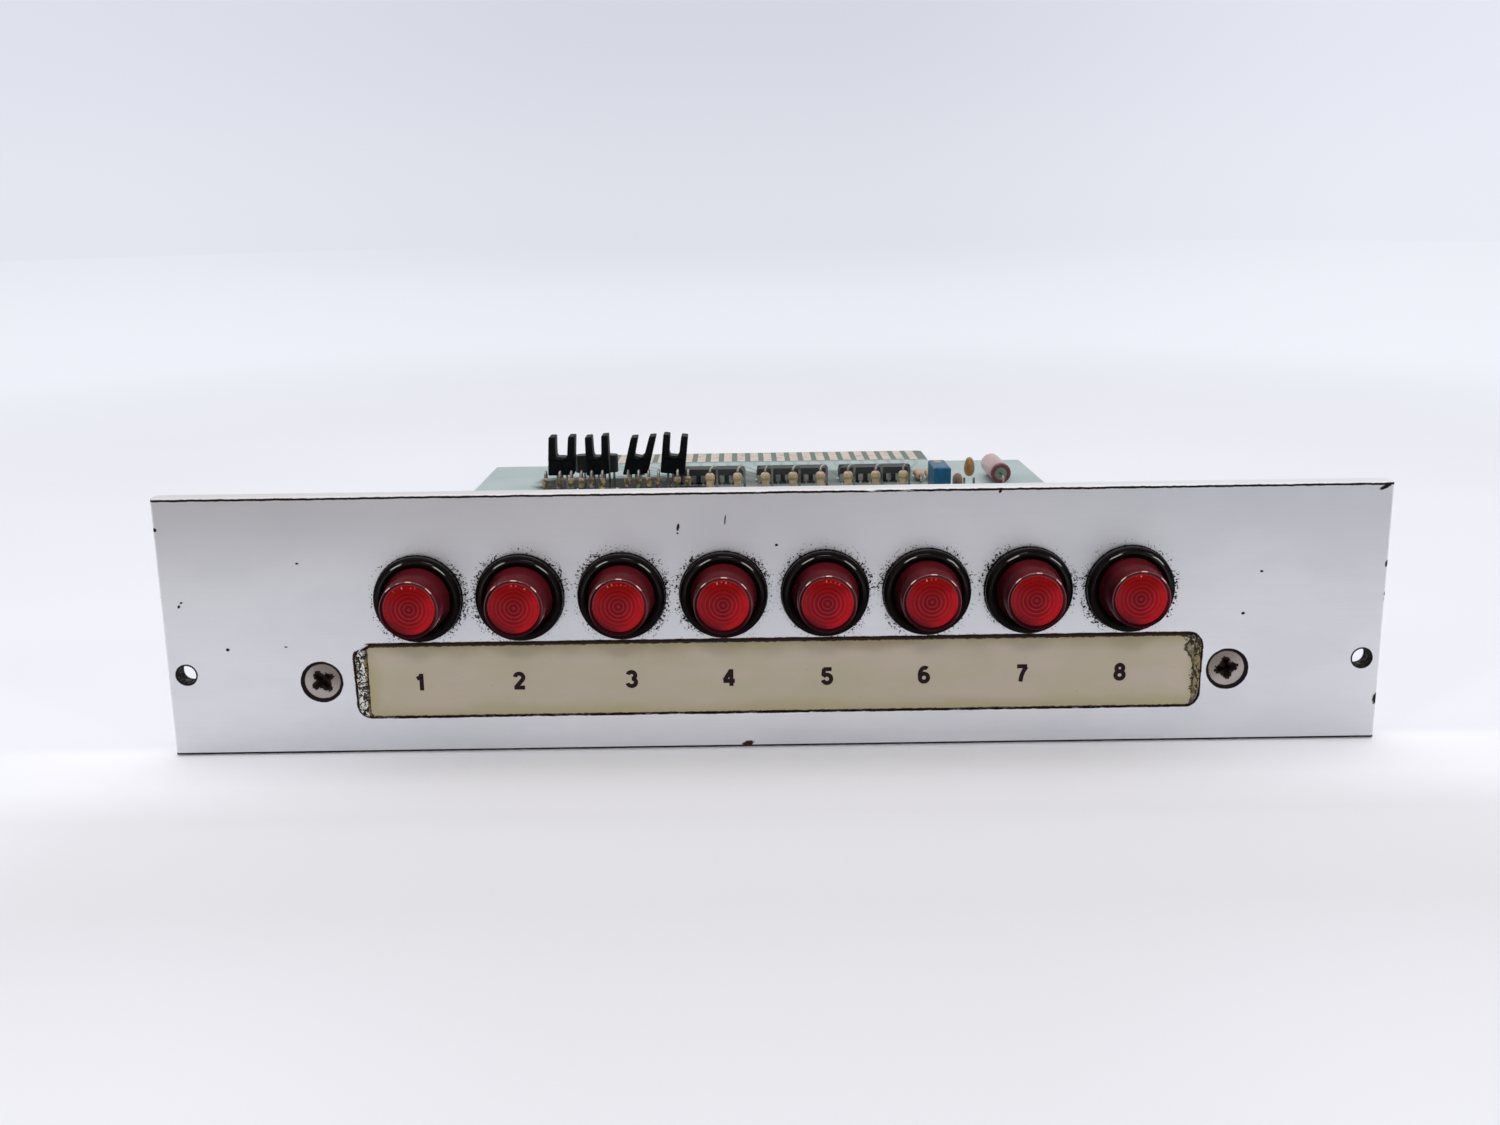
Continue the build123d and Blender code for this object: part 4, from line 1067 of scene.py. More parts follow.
def tube(
    path: np.ndarray, radius: float, sides: int = 10, across: Sequence[float] = (0.0, 0.0, 1.0)
) -> Shape:
    """A round wire with flat ends along a path.

    Each ring's two axes are the path's direction crossed with a fixed vector, and crossed with it again.

    Args:
        path: Points, three columns, in metres.
        radius: The wire's radius.
        sides: Steps round it.
        across: A vector that the path never runs along.

    Returns:
        The wire.
    """
    direction = np.gradient(path, axis=0)
    first = np.cross(direction, across)
    first /= np.linalg.norm(first, axis=1, keepdims=True)
    second = np.cross(direction, first)
    second /= np.linalg.norm(second, axis=1, keepdims=True)
    angle = np.linspace(0.0, 2 * math.pi, sides, endpoint=False)[None, :, None]
    rings = path[:, None] + radius * (np.cos(angle) * first[:, None] + np.sin(angle) * second[:, None])
    numbers = np.arange(len(path) * sides).reshape(len(path), sides)
    return Shape(rings.reshape(-1, 3), [grid_faces(len(path), sides, False, True), numbers[:1], numbers[-1:]])


def loft(rings: np.ndarray) -> Shape:
    """A solid through a stack of closed outlines, each with as many points, capped at both ends."""
    rows, columns = rings.shape[:2]
    numbers = np.arange(rows * columns).reshape(rows, columns)
    return Shape(rings.reshape(-1, 3), [grid_faces(rows, columns, False, True), numbers[:1], numbers[-1:]])


def ribbon(path: Sequence[tuple[float, float]], width: float, low: float, high: float) -> Shape:
    """A flat strip of constant width along a path in X and Y, from height low to high.

    Each corner is mitred: it moves along the mean of its two side directions, by half the width over the
    cosine of half the turn.

    Args:
        path: (x, y) pairs, in metres.
        width: The strip's width.
        low: Its lower face.
        high: Its upper face.

    Returns:
        The strip.
    """
    line = np.asarray(path, float)
    step = np.diff(line, axis=0)
    step /= np.linalg.norm(step, axis=1, keepdims=True)
    before, after = np.vstack([step[:1], step]), np.vstack([step, step[-1:]])
    side = np.stack([-(before + after)[:, 1], (before + after)[:, 0]], -1)
    side /= (1.0 + (before * after).sum(1))[:, None]
    left, right = line + side * width / 2, line - side * width / 2
    corners = [np.c_[left, np.full(len(line), high)], np.c_[right, np.full(len(line), high)],
               np.c_[right, np.full(len(line), low)], np.c_[left, np.full(len(line), low)]]
    return loft(np.stack(corners, 1))


def make_piece(
    name: str,
    shape: Shape,
    finish: Finish,
    body: str = MODULE,
    stands_for: Sequence[str] = (),
    crease: float = 32.0,
) -> bpy.types.Object:
    """Turn a shape into an object that rides on a CAD body.

    Args:
        name: The object's name.
        shape: Its vertices and faces, already in place.
        finish: Its material.
        body: The CAD body that it moves with.
        stands_for: CAD nodes that it replaces.
        crease: Angle in degrees past which an edge stays sharp.

    Returns:
        The object.
    """
    mesh = bpy.data.meshes.new(name)
    mesh.from_pydata(shape.points.tolist(), [], [face for block in shape.faces for face in block.tolist()])
    for mark, values in shape.marks.items():
        attribute = mesh.attributes.new(mark, "FLOAT", "POINT")
        attribute.data.foreach_set("value", np.ascontiguousarray(values, np.float32))
    tidy = bmesh.new()
    tidy.from_mesh(mesh)
    bmesh.ops.remove_doubles(tidy, verts=tidy.verts, dist=1e-7)
    bmesh.ops.dissolve_degenerate(tidy, edges=tidy.edges, dist=1e-8)
    bmesh.ops.recalc_face_normals(tidy, faces=tidy.faces)
    tidy.to_mesh(mesh)
    tidy.free()
    return settle(bpy.data.objects.new(name, mesh), finish, body, stands_for, crease)


def settle(
    piece: bpy.types.Object, finish: Finish, body: str, stands_for: Sequence[str] = (), crease: float = 32.0
) -> bpy.types.Object:
    """Shade an object, give it its finish, link it and tie it to its CAD body."""
    mesh = piece.data
    mesh.shade_smooth()
    mesh.set_sharp_from_angle(angle=math.radians(crease))
    mesh.materials.clear()
    mesh.materials.append(finish.material())
    bpy.context.scene.collection.objects.link(piece)
    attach(piece, body)
    if stands_for:
        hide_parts(*stands_for)
    log.info("%s: %d faces, rides on %s", piece.name, len(mesh.polygons), body)
    return piece


def dress(node: str, finish: Finish) -> None:
    """Give a CAD node that stays in view its finish."""
    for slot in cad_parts[node].material_slots:
        slot.material = finish.material()
    log.info("%s: finished as %s", node, finish.name)


def solids_of(node: str) -> list[tuple[np.ndarray, np.ndarray]]:
    """The box of each separate solid in a CAD node, sorted by X and then by Y.

    Loose triangles are joined where their corners meet, and each joined patch takes the lowest vertex
    number in it, passed on along its edges until nothing changes.

    Args:
        node: The CAD node's name.

    Returns:
        (lowest corner, highest corner) of each solid, in metres.
    """
    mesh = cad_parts[node].data
    points = np.empty(len(mesh.vertices) * 3)
    mesh.vertices.foreach_get("co", points)
    points = points.reshape(-1, 3)
    edges = np.empty(len(mesh.edges) * 2, int)
    mesh.edges.foreach_get("vertices", edges)
    _, merged = np.unique(np.round(points / (0.001 * MM)), axis=0, return_inverse=True)
    merged = merged.ravel()
    start, end = merged[edges.reshape(-1, 2)].T
    label = np.arange(merged.max() + 1)
    while True:
        lowest = np.minimum(label[start], label[end])
        before = label.copy()
        np.minimum.at(label, start, lowest)
        np.minimum.at(label, end, lowest)
        label = label[label]
        if np.array_equal(label, before):
            break
    owner = label[merged]
    boxes = [(points[owner == one].min(0), points[owner == one].max(0)) for one in np.unique(owner)]
    return sorted(boxes, key=lambda box: (round(box[0][0] / MM, 1), box[0][1]))


# ================================================================ front panel
def arc(
    middle: tuple[float, float], radii: tuple[float, float], start: float, end: float, steps: int = 22
) -> np.ndarray:
    """Points on an ellipse from one angle to another, in degrees."""
    angle = np.radians(np.linspace(start, end, steps))
    return np.stack([middle[0] + radii[0] * np.cos(angle), middle[1] + radii[1] * np.sin(angle)], -1)


def numeral_strokes(number: int) -> list[np.ndarray]:
    """The centre lines of a numeral from 1 to 8, drawn plainly with lines and arcs.

    Args:
        number: The numeral.

    Returns:
        Its strokes, each two columns of points, where the whole numeral is about one unit high.
    """
    strokes = {
        1: [np.array([(0.06, -0.5), (0.06, 0.5)]), np.array([(0.08, 0.40), (-0.04, 0.27), (-0.20, 0.20)])],
        2: [np.concatenate([arc((0.0, 0.19), (0.235, 0.225), 172, -28), [(-0.02, -0.18), (-0.21, -0.40)]]),
            np.array([(-0.30, -0.415), (0.31, -0.415)])],
        3: [arc((-0.01, 0.215), (0.215, 0.205), 165, -88), arc((-0.01, -0.195), (0.245, 0.225), 88, -168)],
        4: [np.array([(0.13, 0.5), (0.13, -0.5)]), np.array([(0.10, 0.42), (-0.27, -0.17)]),
            np.array([(-0.33, -0.20), (0.33, -0.20)])],
        5: [np.array([(-0.20, 0.415), (0.27, 0.415)]), np.array([(-0.16, 0.45), (-0.21, 0.03)]),
            arc((0.0, -0.165), (0.24, 0.25), 150, -165)],
        6: [arc((0.01, -0.18), (0.235, 0.24), 0, 372), arc((0.05, 0.0), (0.275, 0.415), 58, 205)],
        7: [np.array([(-0.29, 0.415), (0.29, 0.415)]),
            np.array([(0.25, 0.38), (0.08, 0.12), (-0.03, -0.18), (-0.08, -0.5)])],
        8: [arc((0.0, 0.22), (0.195, 0.195), 0, 372), arc((0.0, -0.19), (0.235, 0.225), 0, 372)],
    }
    return strokes[number]


@dataclass
class FrontPanel:
    """The satin panel with its label strip, numerals, adhesive remains and two screws."""

    pocket_half: float = 64.2
    pocket_shift: float = 0.55
    pocket_height: float = 11.65
    pocket_middle: float = 11.32
    pocket_depth: float = 0.6
    pocket_corner: float = 2.2
    screw_x: float = 68.8
    screw_height: float = 11.4
    hole_x: float = 89.2
    bezel_radius: float = 6.55
    numeral_height: float = 2.66
    stroke_share: float = 0.243
    numeral_middle: float = 11.1
    numeral_places: tuple[float, ...] = (-53.9, -38.9, -21.8, -7.0, 7.9, 22.65, 37.6, 52.5)
    numeral_relief: float = 0.012
    nicks: tuple[Nick, ...] = (
        Nick(-91.8, 22.5, 0.5, 0.4), Nick(-89.3, 10.7, 0.35, 0.25, 60), Nick(-88.9, 11.3, 0.3, 0.2, 30),
        Nick(-71.1, 17.1, 0.3, 0.22), Nick(-82.6, 3.9, 0.35, 0.3), Nick(-73.8, 4.2, 0.3, 0.15),
        Nick(-14.2, 21.8, 0.75, 0.28, 80), Nick(-14.3, 20.9, 0.22, 0.18), Nick(-7.2, 22.8, 0.9, 0.14, 85),
        Nick(-4.2, -12.2, 1.2, 0.5, 10), Nick(0.4, 18.9, 0.3, 0.25), Nick(33.6, 26.6, 0.5, 0.3, 60),
        Nick(90.6, 26.4, 1.3, 0.4, 25), Nick(91.8, 14.7, 0.7, 0.35, 80), Nick(91.9, 10.0, 0.4, 0.2, 85),
        Nick(91.9, -6.5, 1.2, 0.7, 85), Nick(73.1, 13.8, 0.35, 0.25), Nick(70.7, 7.3, 0.35, 0.3),
    )

    def __post_init__(self) -> None:
        """Read the panel's own box from the frame."""
        self.low, self.high = (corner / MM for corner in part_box("front_panel"))
        lamp_low, lamp_high = (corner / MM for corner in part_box("lamp_holder_1"))
        self.lamp_height = (lamp_low.z + lamp_high.z) / 2
        self.pocket_top = self.low.z + self.pocket_middle + self.pocket_height / 2
        self.pocket_bottom = self.pocket_top - self.pocket_height
        self.screw_z = self.low.z + self.screw_height

    def dress_panel(self) -> None:
        """Finish the panel and the two screws in it."""
        dress("front_panel", PanelFinish(
            "panel_satin", "satin_aluminium", self.high.x, self.high.z, self.low.z, self.low.y,
            self.lamp_height, self.bezel_radius, self.pocket_half, self.pocket_shift, self.pocket_top,
            self.pocket_bottom, self.pocket_corner, self.screw_x, self.screw_z, self.hole_x, self.nicks,
        ))
        dress("panel_screws", ScrewFinish("screw_nickel", "nickel_steel", self.screw_x, self.screw_z))

    def dress_strip(self) -> None:
        """Finish the label strip from its own outline."""
        low, high = (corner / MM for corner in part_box("label_strip"))
        dress("label_strip", LabelFinish("label_aged", "aged_label", low.x, high.x, high.z, low.z))

    def numeral(self, number: int, x: float) -> None:
        """One printed numeral: raised strips of even width along its strokes."""
        strokes = numeral_strokes(number)
        width = self.stroke_share * self.numeral_height
        layers = []
        for layer, stroke in enumerate(strokes):
            height = self.numeral_relief + 0.001 * layer
            layers.append(ribbon(stroke * self.numeral_height, width, 0.0, height))
        shape = Shape.joined(layers)
        shape = Shape(shape.points * MM, shape.faces).turned((math.pi / 2, 0.0, 0.0))
        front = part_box("label_strip")[0].y
        shape = shape.moved((x * MM, front, (self.low.z + self.numeral_middle) * MM))
        make_piece(f"numeral_{number}", shape, Finishes.ink, crease=60.0)

    def residue(self, name: str, left: float, right: float, top: float, bottom: float, base: float,
                height: float, cover: float, fresh: float, seed: int) -> None:
        """A crinkled remnant of adhesive on a floor at Y = base.

        Its outline is a rectangle whose corners are pulled in and whose rim wanders. Its height is a sum of
        folded waves, |sin| of a random direction and phase, so that creases meet at sharp crests, and it
        falls to nothing at the rim.

        Args:
            name: The piece's name.
            left: Lowest X, in millimetres.
            right: Highest X.
            top: Highest Z.
            bottom: Lowest Z.
            base: The floor's Y.
            height: The tallest crest.
            cover: X past which the remnant lies flat.
            fresh: How pale the outer side stays, from 0 to 1.
            seed: Start of the random draws.
        """
        draw = np.random.default_rng(seed)
        across, up = np.meshgrid(np.linspace(-1, 1, 44), np.linspace(-1, 1, 150))
        fold = np.zeros_like(across)
        for wave in range(7):
            angle, phase = draw.uniform(0, math.pi), draw.uniform(0, 2 * math.pi)
            reach = (0.9 + 0.75 * wave) * 1.3
            travel = np.cos(angle) * across + 4.2 * np.sin(angle) * up
            fold += np.abs(np.sin(reach * travel + phase)) / (1 + 0.5 * wave)
        fold = (fold - fold.min()) / np.ptp(fold)
        waves = [np.sin(count * 2.3 * up + draw.uniform(0, 6)) / count for count in (2, 3, 5, 9, 17)]
        wander = sum(waves) * 0.13
        corner = 1 - 0.42 * np.clip((np.abs(up) - 0.8) / 0.2, 0, 1) ** 1.6
        width = (right - left) / 2
        x = (left + right) / 2 + width * (across * corner + (across - 1) * wander * 0.5 + (1 - corner) * 0.6)
        z = (top + bottom) / 2 + (top - bottom) / 2 * up * (1 + 0.02 * wander)
        rim = np.clip((1 - np.abs(across)) / 0.1, 0, 1) * np.clip((1 - np.abs(up)) / 0.03, 0, 1)
        sunk = 0.12 + 0.88 * np.clip((cover - x) / 0.35, 0, 1)
        y = base - 0.03 - height * fold * rim * sunk
        front = np.stack([x, y, z], -1).reshape(-1, 3)
        back = np.stack([x, np.full_like(x, base - 0.005), z], -1).reshape(-1, 3)
        rows, columns = across.shape
        faces = grid_faces(rows, columns)
        rim_line = np.r_[np.arange(columns), np.arange(1, rows) * columns + columns - 1,
                         np.arange(rows * columns - 2, (rows - 1) * columns - 1, -1),
                         np.arange(rows - 2, 0, -1) * columns]
        next_line = np.roll(rim_line, -1)
        count = rows * columns
        walls = np.stack([rim_line, next_line, next_line + count, rim_line + count], -1)
        shape = Shape(np.concatenate([front, back]) * MM, [faces, faces[:, ::-1] + count, walls])
        pale = np.clip(0.5 - across * 1.3, 0.0, 1.0) * fresh
        inset = np.minimum((1 - np.abs(across)) * width, (1 - np.abs(up)) * (top - bottom) / 2)
        edge = 1 - np.clip(inset / 0.4, 0, 1)
        for mark, values in (("fold", fold), ("fresh", pale), ("edge", edge)):
            shape = shape.marked(mark, np.tile(values.ravel(), 2))
        make_piece(name, shape, ResidueFinish("adhesive_remains", "aged_label"), crease=60.0)

    def build(self) -> None:
        """Dress the CAD pieces, print the numerals and lay the adhesive remains."""
        self.dress_panel()
        self.dress_strip()
        for number, x in enumerate(self.numeral_places, start=1):
            self.numeral(number, x)
        strip_low, strip_high = (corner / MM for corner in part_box("label_strip"))
        floor = self.low.y + self.pocket_depth
        pocket_left = self.pocket_shift - self.pocket_half
        pocket_right = self.pocket_shift + self.pocket_half
        self.residue("adhesive_left", pocket_left + 0.03, strip_low.x + 1.0, self.pocket_top - 1.0,
                     self.pocket_bottom + 0.1, floor, 0.5, strip_low.x + 0.15, 1.0, seed=4)
        self.residue("adhesive_right", strip_high.x - 0.7, pocket_right - 0.02, self.pocket_top - 0.5,
                     self.pocket_bottom + 2.4, floor - 0.42, 0.16, pocket_right, 0.25, seed=11)


# ================================================================ lamp units
@dataclass
class LampUnit:
    """One lamp: the glossy holder, the ribbed red lens cap and the bulb behind it."""

    number: int
    rings: int = 6
    flutes: int = 32
    rim_width: float = 0.5
    rim_height: float = 0.28
    ring_depth: float = 0.045
    flute_depth: float = 0.12
    thread_pitch: float = 0.75

    def __post_init__(self) -> None:
        """Take the unit's place and its main sizes from the CAD pieces, in millimetres."""
        cap_low, cap_high = (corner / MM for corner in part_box(f"lens_cap_{self.number}"))
        holder_low, holder_high = (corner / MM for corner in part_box(f"lamp_holder_{self.number}"))
        bulb_low, bulb_high = (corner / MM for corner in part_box(f"bulb_{self.number}"))
        self.x, self.z = (cap_low.x + cap_high.x) / 2, (cap_low.z + cap_high.z) / 2
        self.front, self.skirt_end = cap_low.y, cap_high.y
        self.bezel_front, self.holder_end = holder_low.y, holder_high.y
        self.bezel_radius = (holder_high.x - holder_low.x) / 2
        self.bulb_tip, self.bulb_end = bulb_low.y, bulb_high.y
        self.panel_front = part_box("front_panel")[0].y / MM
        self.face_radius, self.base_radius, self.skirt_radius = 4.3, 5.0, 4.5
        self.bore_radius, self.wall = 3.6, 1.2
        self.seat = self.bezel_front + 1.0

    @property
    def inner_radius(self) -> float:
        """Where the ribbed face meets the raised rim."""
        return self.face_radius - self.rim_width

    @property
    def ring_pitch(self) -> float:
        """Distance between two rings of the face."""
        return self.inner_radius / (self.rings + 0.25)

    def place(self, shape: Shape) -> Shape:
        """Millimetres about the lamp's axis to metres in the model's frame."""
        return Shape(shape.points * MM, shape.faces, shape.marks).moved((self.x * MM, 0.0, self.z * MM))

    def cap(self) -> None:
        """The lens cap, a closed shell.

        Its face has a raised round rim, a belt of radial flutes inside it and concentric rings of cosine
        section that run to the middle; its sides taper to the base that sits in the bezel.
        """
        face = self.front + self.rim_height
        ring_radius = np.linspace(0.0, self.inner_radius - 0.3, 61)
        ring_wave = 0.5 - 0.5 * np.cos(ring_radius * 2 * math.pi / self.ring_pitch)
        rings = np.stack([ring_radius, face + 0.12 - self.ring_depth * ring_wave], -1)
        rim = eased(
            [(self.inner_radius - 0.28, face + 0.12), (self.inner_radius + 0.03, face - 0.02),
             (self.inner_radius + 0.1, self.front), (self.face_radius, self.front),
             (self.base_radius, self.bezel_front)],
            [0.0, 0.06, 0.12, 0.2, 0.0], steps=7,
        )
        rest = eased(
            [(self.base_radius, self.bezel_front + 0.02), (self.base_radius, self.seat),
             (self.skirt_radius, self.seat), (self.skirt_radius, self.skirt_end),
             (self.bore_radius, self.skirt_end), (self.bore_radius, self.front + self.wall),
             (0.0, self.front + self.wall)],
            [0.0, 0.12, 0.12, 0.2, 0.15, 0.4, 0.0], steps=4,
        )

        def flutes(radius: np.ndarray, angle: np.ndarray) -> np.ndarray:
            """Radial ribs in a belt just inside the rim, on the front face only."""
            belt = np.clip(1 - np.abs(radius - self.inner_radius + 0.3) / 0.28, 0, 1)
            front = np.arange(len(radius))[:, None] < len(rings) + len(rim)
            return -self.flute_depth * belt * front * (0.5 + 0.5 * np.cos(self.flutes * angle))

        cap = lathe(np.concatenate([rings, rim, rest]), self.flutes * 6, flutes)
        finish = LensFinish("lens_red_acrylic", "red_lens", self.front, self.inner_radius,
                            self.z, self.ring_pitch, self.flutes)
        make_piece(f"ribbed_lens_{self.number}", self.place(cap), finish, f"lens_{self.number}",
                   [f"lens_cap_{self.number}"], crease=50.0)

    def holder(self) -> None:
        """The holder: a half-round bezel, a barrel with a V thread, and the socket inside."""
        seat_radius = self.base_radius + 0.05
        bezel = eased(
            [(seat_radius, self.seat), (seat_radius, self.bezel_front), (self.bezel_radius, self.bezel_front),
             (self.bezel_radius, self.panel_front + 0.01), (5.6, self.panel_front + 0.01)],
            [0.0, 0.7, 0.78, 0.0, 0.0], steps=12,
        )
        turns = np.arange(0.6, 13.4, self.thread_pitch / 2)
        crest = np.where(np.arange(len(turns)) % 2, 5.6, 5.25)
        thread = np.stack([crest, turns], -1)
        rear = eased(
            [(5.25, 13.6), (5.25, 14.0), (4.6, 14.0), (4.6, self.holder_end), (0.0, self.holder_end)],
            [0.0, 0.15, 0.2, 0.5, 0.0], steps=5,
        )
        inside = np.array([(0.0, 17.0), (2.95, 17.0), (2.95, 12.0), (4.55, 12.0), (4.55, self.seat)])
        profile = np.concatenate([inside, bezel, thread, rear])
        finish = HolderFinish("holder_black_gloss", "black_holder", self.z, self.panel_front)
        make_piece(f"holder_{self.number}", self.place(lathe(profile, 96)), finish, MODULE,
                   [f"lamp_holder_{self.number}"], crease=40.0)

    def bulb(self) -> None:
        """The bulb: a thin glass envelope, its metal base with a collar, and a coiled filament on posts."""
        node = f"bulb_{self.number}"
        collar = 11.2
        outer = eased([(0.0, self.bulb_tip), (2.6, self.bulb_tip), (2.75, collar)], [0.0, 2.2, 0.0], steps=18)
        inner_tip = self.bulb_tip + 0.3
        inner = eased([(2.5, collar), (2.35, inner_tip), (0.0, inner_tip)], [0.0, 2.0, 0.0], steps=18)
        glass = lathe(np.concatenate([outer, inner]), 48)
        finish = GlassFinish("bulb_glass_clear", "bulb_glass")
        make_piece(f"bulb_glass_{self.number}", self.place(glass), finish, MODULE, [node])
        base = eased(
            [(0.0, collar), (3.4, collar), (3.4, 12.0), (2.9, 12.0), (2.9, self.bulb_end - 1.2),
             (1.2, self.bulb_end - 0.4), (0.0, self.bulb_end)],
            [0.0, 0.3, 0.25, 0.1, 0.4, 0.3, 0.0], steps=5,
        )
        make_piece(f"bulb_base_{self.number}", self.place(lathe(base, 40)), Finishes.zinc, MODULE, [node])
        turn = np.linspace(0.0, 16 * math.pi, 260)
        coil = np.stack([np.linspace(-1.1, 1.1, 260), 5.2 + 0.16 * np.cos(turn), 0.16 * np.sin(turn)], -1)
        post = np.array([(1.0, 11.3, 0.0), (0.75, 9.0, 0.0), (1.1, 6.6, 0.0), (1.1, 5.2, 0.0)])
        wires = [tube(coil, 0.035, 6, (1.0, 0.0, 0.0)), tube(post, 0.12, 8), tube(post * (-1, 1, 1), 0.12, 8)]
        filament = self.place(Shape.joined(wires))
        make_piece(f"bulb_filament_{self.number}", filament, Finishes.filament, MODULE, [node])

    def build(self) -> None:
        """Make the unit's pieces."""
        self.cap()
        self.holder()
        self.bulb()


# ================================================================ brackets, screws and wiring
@dataclass
class Hardware:
    """Brackets, fasteners, solder tabs and wires, whose CAD shapes stay, and the solder on the tabs."""

    bead_radius: float = 0.75
    bead_half: float = 1.3

    def dress_nodes(self) -> None:
        """Give every CAD node of the hardware its finish."""
        dress("angle_brackets", Finishes.mill_aluminium)
        for node in ("nuts", "board_screws", "lamp_nuts", "lamp_washers"):
            dress(node, Finishes.zinc)
        for node in ("lamp_terminals", "bus_wire"):
            dress(node, Finishes.tinned)
        dress("lamp_wires", WireFinish("wire_insulation_colours", "wire_insulation"))

    def solder_beads(self) -> None:
        """A bead of solder where each wire meets its tab: an ellipsoid drawn out along the wire."""
        angle = np.linspace(0.0, math.pi, 12)
        profile = np.stack([self.bead_radius * np.sin(angle), -self.bead_half * np.cos(angle)], -1) * MM
        profile[[0, -1], 0] = 0.0
        bead = lathe(profile, 16)
        beads = [bead.moved(((low[0] + high[0]) / 2, high[1] - 0.2 * MM, (low[2] + high[2]) / 2))
                 for low, high in solids_of("lamp_terminals")]
        make_piece("tab_solder", Shape.joined(beads), Finishes.solder)

    def build(self) -> None:
        """Dress the hardware and solder the tabs."""
        self.dress_nodes()
        self.solder_beads()


# ================================================================ circuit board
@dataclass
class Board:
    """The laminate with its tracks and pads, contacts, pins, leads and solder."""

    track_width: float = 0.9
    copper: float = 0.06
    pad_radius: float = 1.15
    fan_start: float = 189.5
    fan_end: float = 212.0
    contact_start: float = 217.9
    rail_width: float = 3.2
    feed_width: float = 1.6
    link_width: float = 1.2
    bus_width: float = 2.0

    def dress_nodes(self) -> None:
        """Give the board's CAD nodes their finishes."""
        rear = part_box("circuit_board")[1].y / MM
        dress("circuit_board", BoardFinish("board_lacquered", "board_laminate", rear))
        dress("edge_contacts", Finishes.gold)
        dress("solder_joints", Finishes.solder)
        for node in ("circuit_pins", "component_leads"):
            dress(node, Finishes.tinned)

    def pads(self) -> None:
        """A flat round pad on both faces at every soldered lead: a short twelve-sided prism."""
        board_low, board_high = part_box("circuit_board")
        angle = np.linspace(0.0, 2 * math.pi, 12, endpoint=False)
        ring = np.stack([np.cos(angle), np.sin(angle)], -1) * self.pad_radius * MM
        slabs = []
        copper = self.copper * MM
        for low, high in ((board_low.z - copper, board_low.z), (board_high.z, board_high.z + copper)):
            outline = np.stack([np.c_[ring, np.full(len(ring), level)] for level in (low, high)])
            slabs.append(loft(outline))
        places = [(low + high) / 2 for low, high in solids_of("solder_joints")]
        pads = [slab.moved((place[0], place[1], 0.0)) for place in places for slab in slabs]
        make_piece("solder_pads", Shape.joined(pads), Finishes.track_bare)

    def tracks(self) -> None:
        """Tracks on both faces.

        On top each rear pin's track runs back, slants over to its contact and runs on to it. Underneath,
        each lamp's track runs from its wire to its resistors, and a wide rail follows the board's two sides.
        """
        board_low, board_high = (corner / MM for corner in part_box("circuit_board"))
        middles = [float(low[0] + high[0]) / 2 / MM for low, high in solids_of("edge_contacts")]
        contacts = sorted({round(middle, 3) for middle in middles})
        pins = [(low + high) / 2 / MM for low, high in solids_of("circuit_pins")]
        rear_row = max(pin[1] for pin in pins)
        rear = sorted(float(pin[0]) for pin in pins if pin[1] > rear_row - 0.5)
        top = (board_high.z, board_high.z + self.copper)
        bottom = (board_low.z - self.copper, board_low.z)
        lines = []
        for pin, contact in zip(rear, contacts):
            path = [(pin, rear_row), (pin, self.fan_start)]
            path += [(contact, self.fan_end), (contact, self.contact_start)]
            lines.append(ribbon(path, self.track_width, *top))
            under = [(contact, self.contact_start), (contact, self.fan_end - 6)]
            under += [(pin + 1.27, self.fan_start - 14)]
            lines.append(ribbon(under, self.track_width, *bottom))
        for index in range(LAMP_COUNT):
            x = (index - (LAMP_COUNT - 1) / 2) * LAMP_PITCH
            gathered = x * 0.45 + 11.4
            links = (
                [(x, 58.0), (x + 2.5, 62.0), (x + 2.5, 112.0), (x, 116.0)],
                [(x, 128.0), (x, 134.0), (gathered, 141.0), (gathered, 147.0)],
                [(x + 5, 47.0), (x + 5, 43.5)],
            )
            lines.append(ribbon([(x, 36.0), (x, 46.0)], self.feed_width, *top))
            lines += [ribbon(link, self.link_width, *bottom) for link in links]
        lines.append(ribbon([(-50.0, 43.5), (66.0, 43.5)], self.bus_width, *bottom))
        for side in (-1, 1):
            edge = side * (board_high.x - 4.0)
            rail = [(edge, 24.0), (edge, 196.0), (edge - side * 12, 208.0), (side * 52.0, 208.0)]
            lines.append(ribbon(rail, self.rail_width, *bottom))
            lines.append(ribbon([(edge, 24.0), (edge, 108.0)], self.rail_width, *top))
        shape = Shape.joined([Shape(line.points * MM, line.faces) for line in lines])
        finish = BoardFinish("board_track_lacquer", "board_laminate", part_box("circuit_board")[1].y / MM,
                             (0.25, 0.36, 0.35), (0.21, 0.32, 0.31))
        make_piece("board_tracks", shape, finish)

    def build(self) -> None:
        """Dress the nodes and lay the copper."""
        self.dress_nodes()
        self.pads()
        self.tracks()


# ================================================================ components
def rounded_outline(width: float, depth: float, radius: float, steps: int = 4) -> np.ndarray:
    """A rectangle about the origin with round corners.

    Each corner is a quarter circle of equal steps; the four follow one another anticlockwise.

    Args:
        width: Size along X.
        depth: Size along Y.
        radius: Corner radius.
        steps: Points on each corner.

    Returns:
        Two columns of points.
    """
    angle = np.linspace(0.0, math.pi / 2, steps)[None, :] + np.arange(4)[:, None] * math.pi / 2
    side_x, side_y = np.array([1, -1, -1, 1])[:, None], np.array([1, 1, -1, -1])[:, None]
    x = side_x * (width / 2 - radius) + radius * np.cos(angle)
    y = side_y * (depth / 2 - radius) + radius * np.sin(angle)
    return np.stack([x.ravel(), y.ravel()], -1)


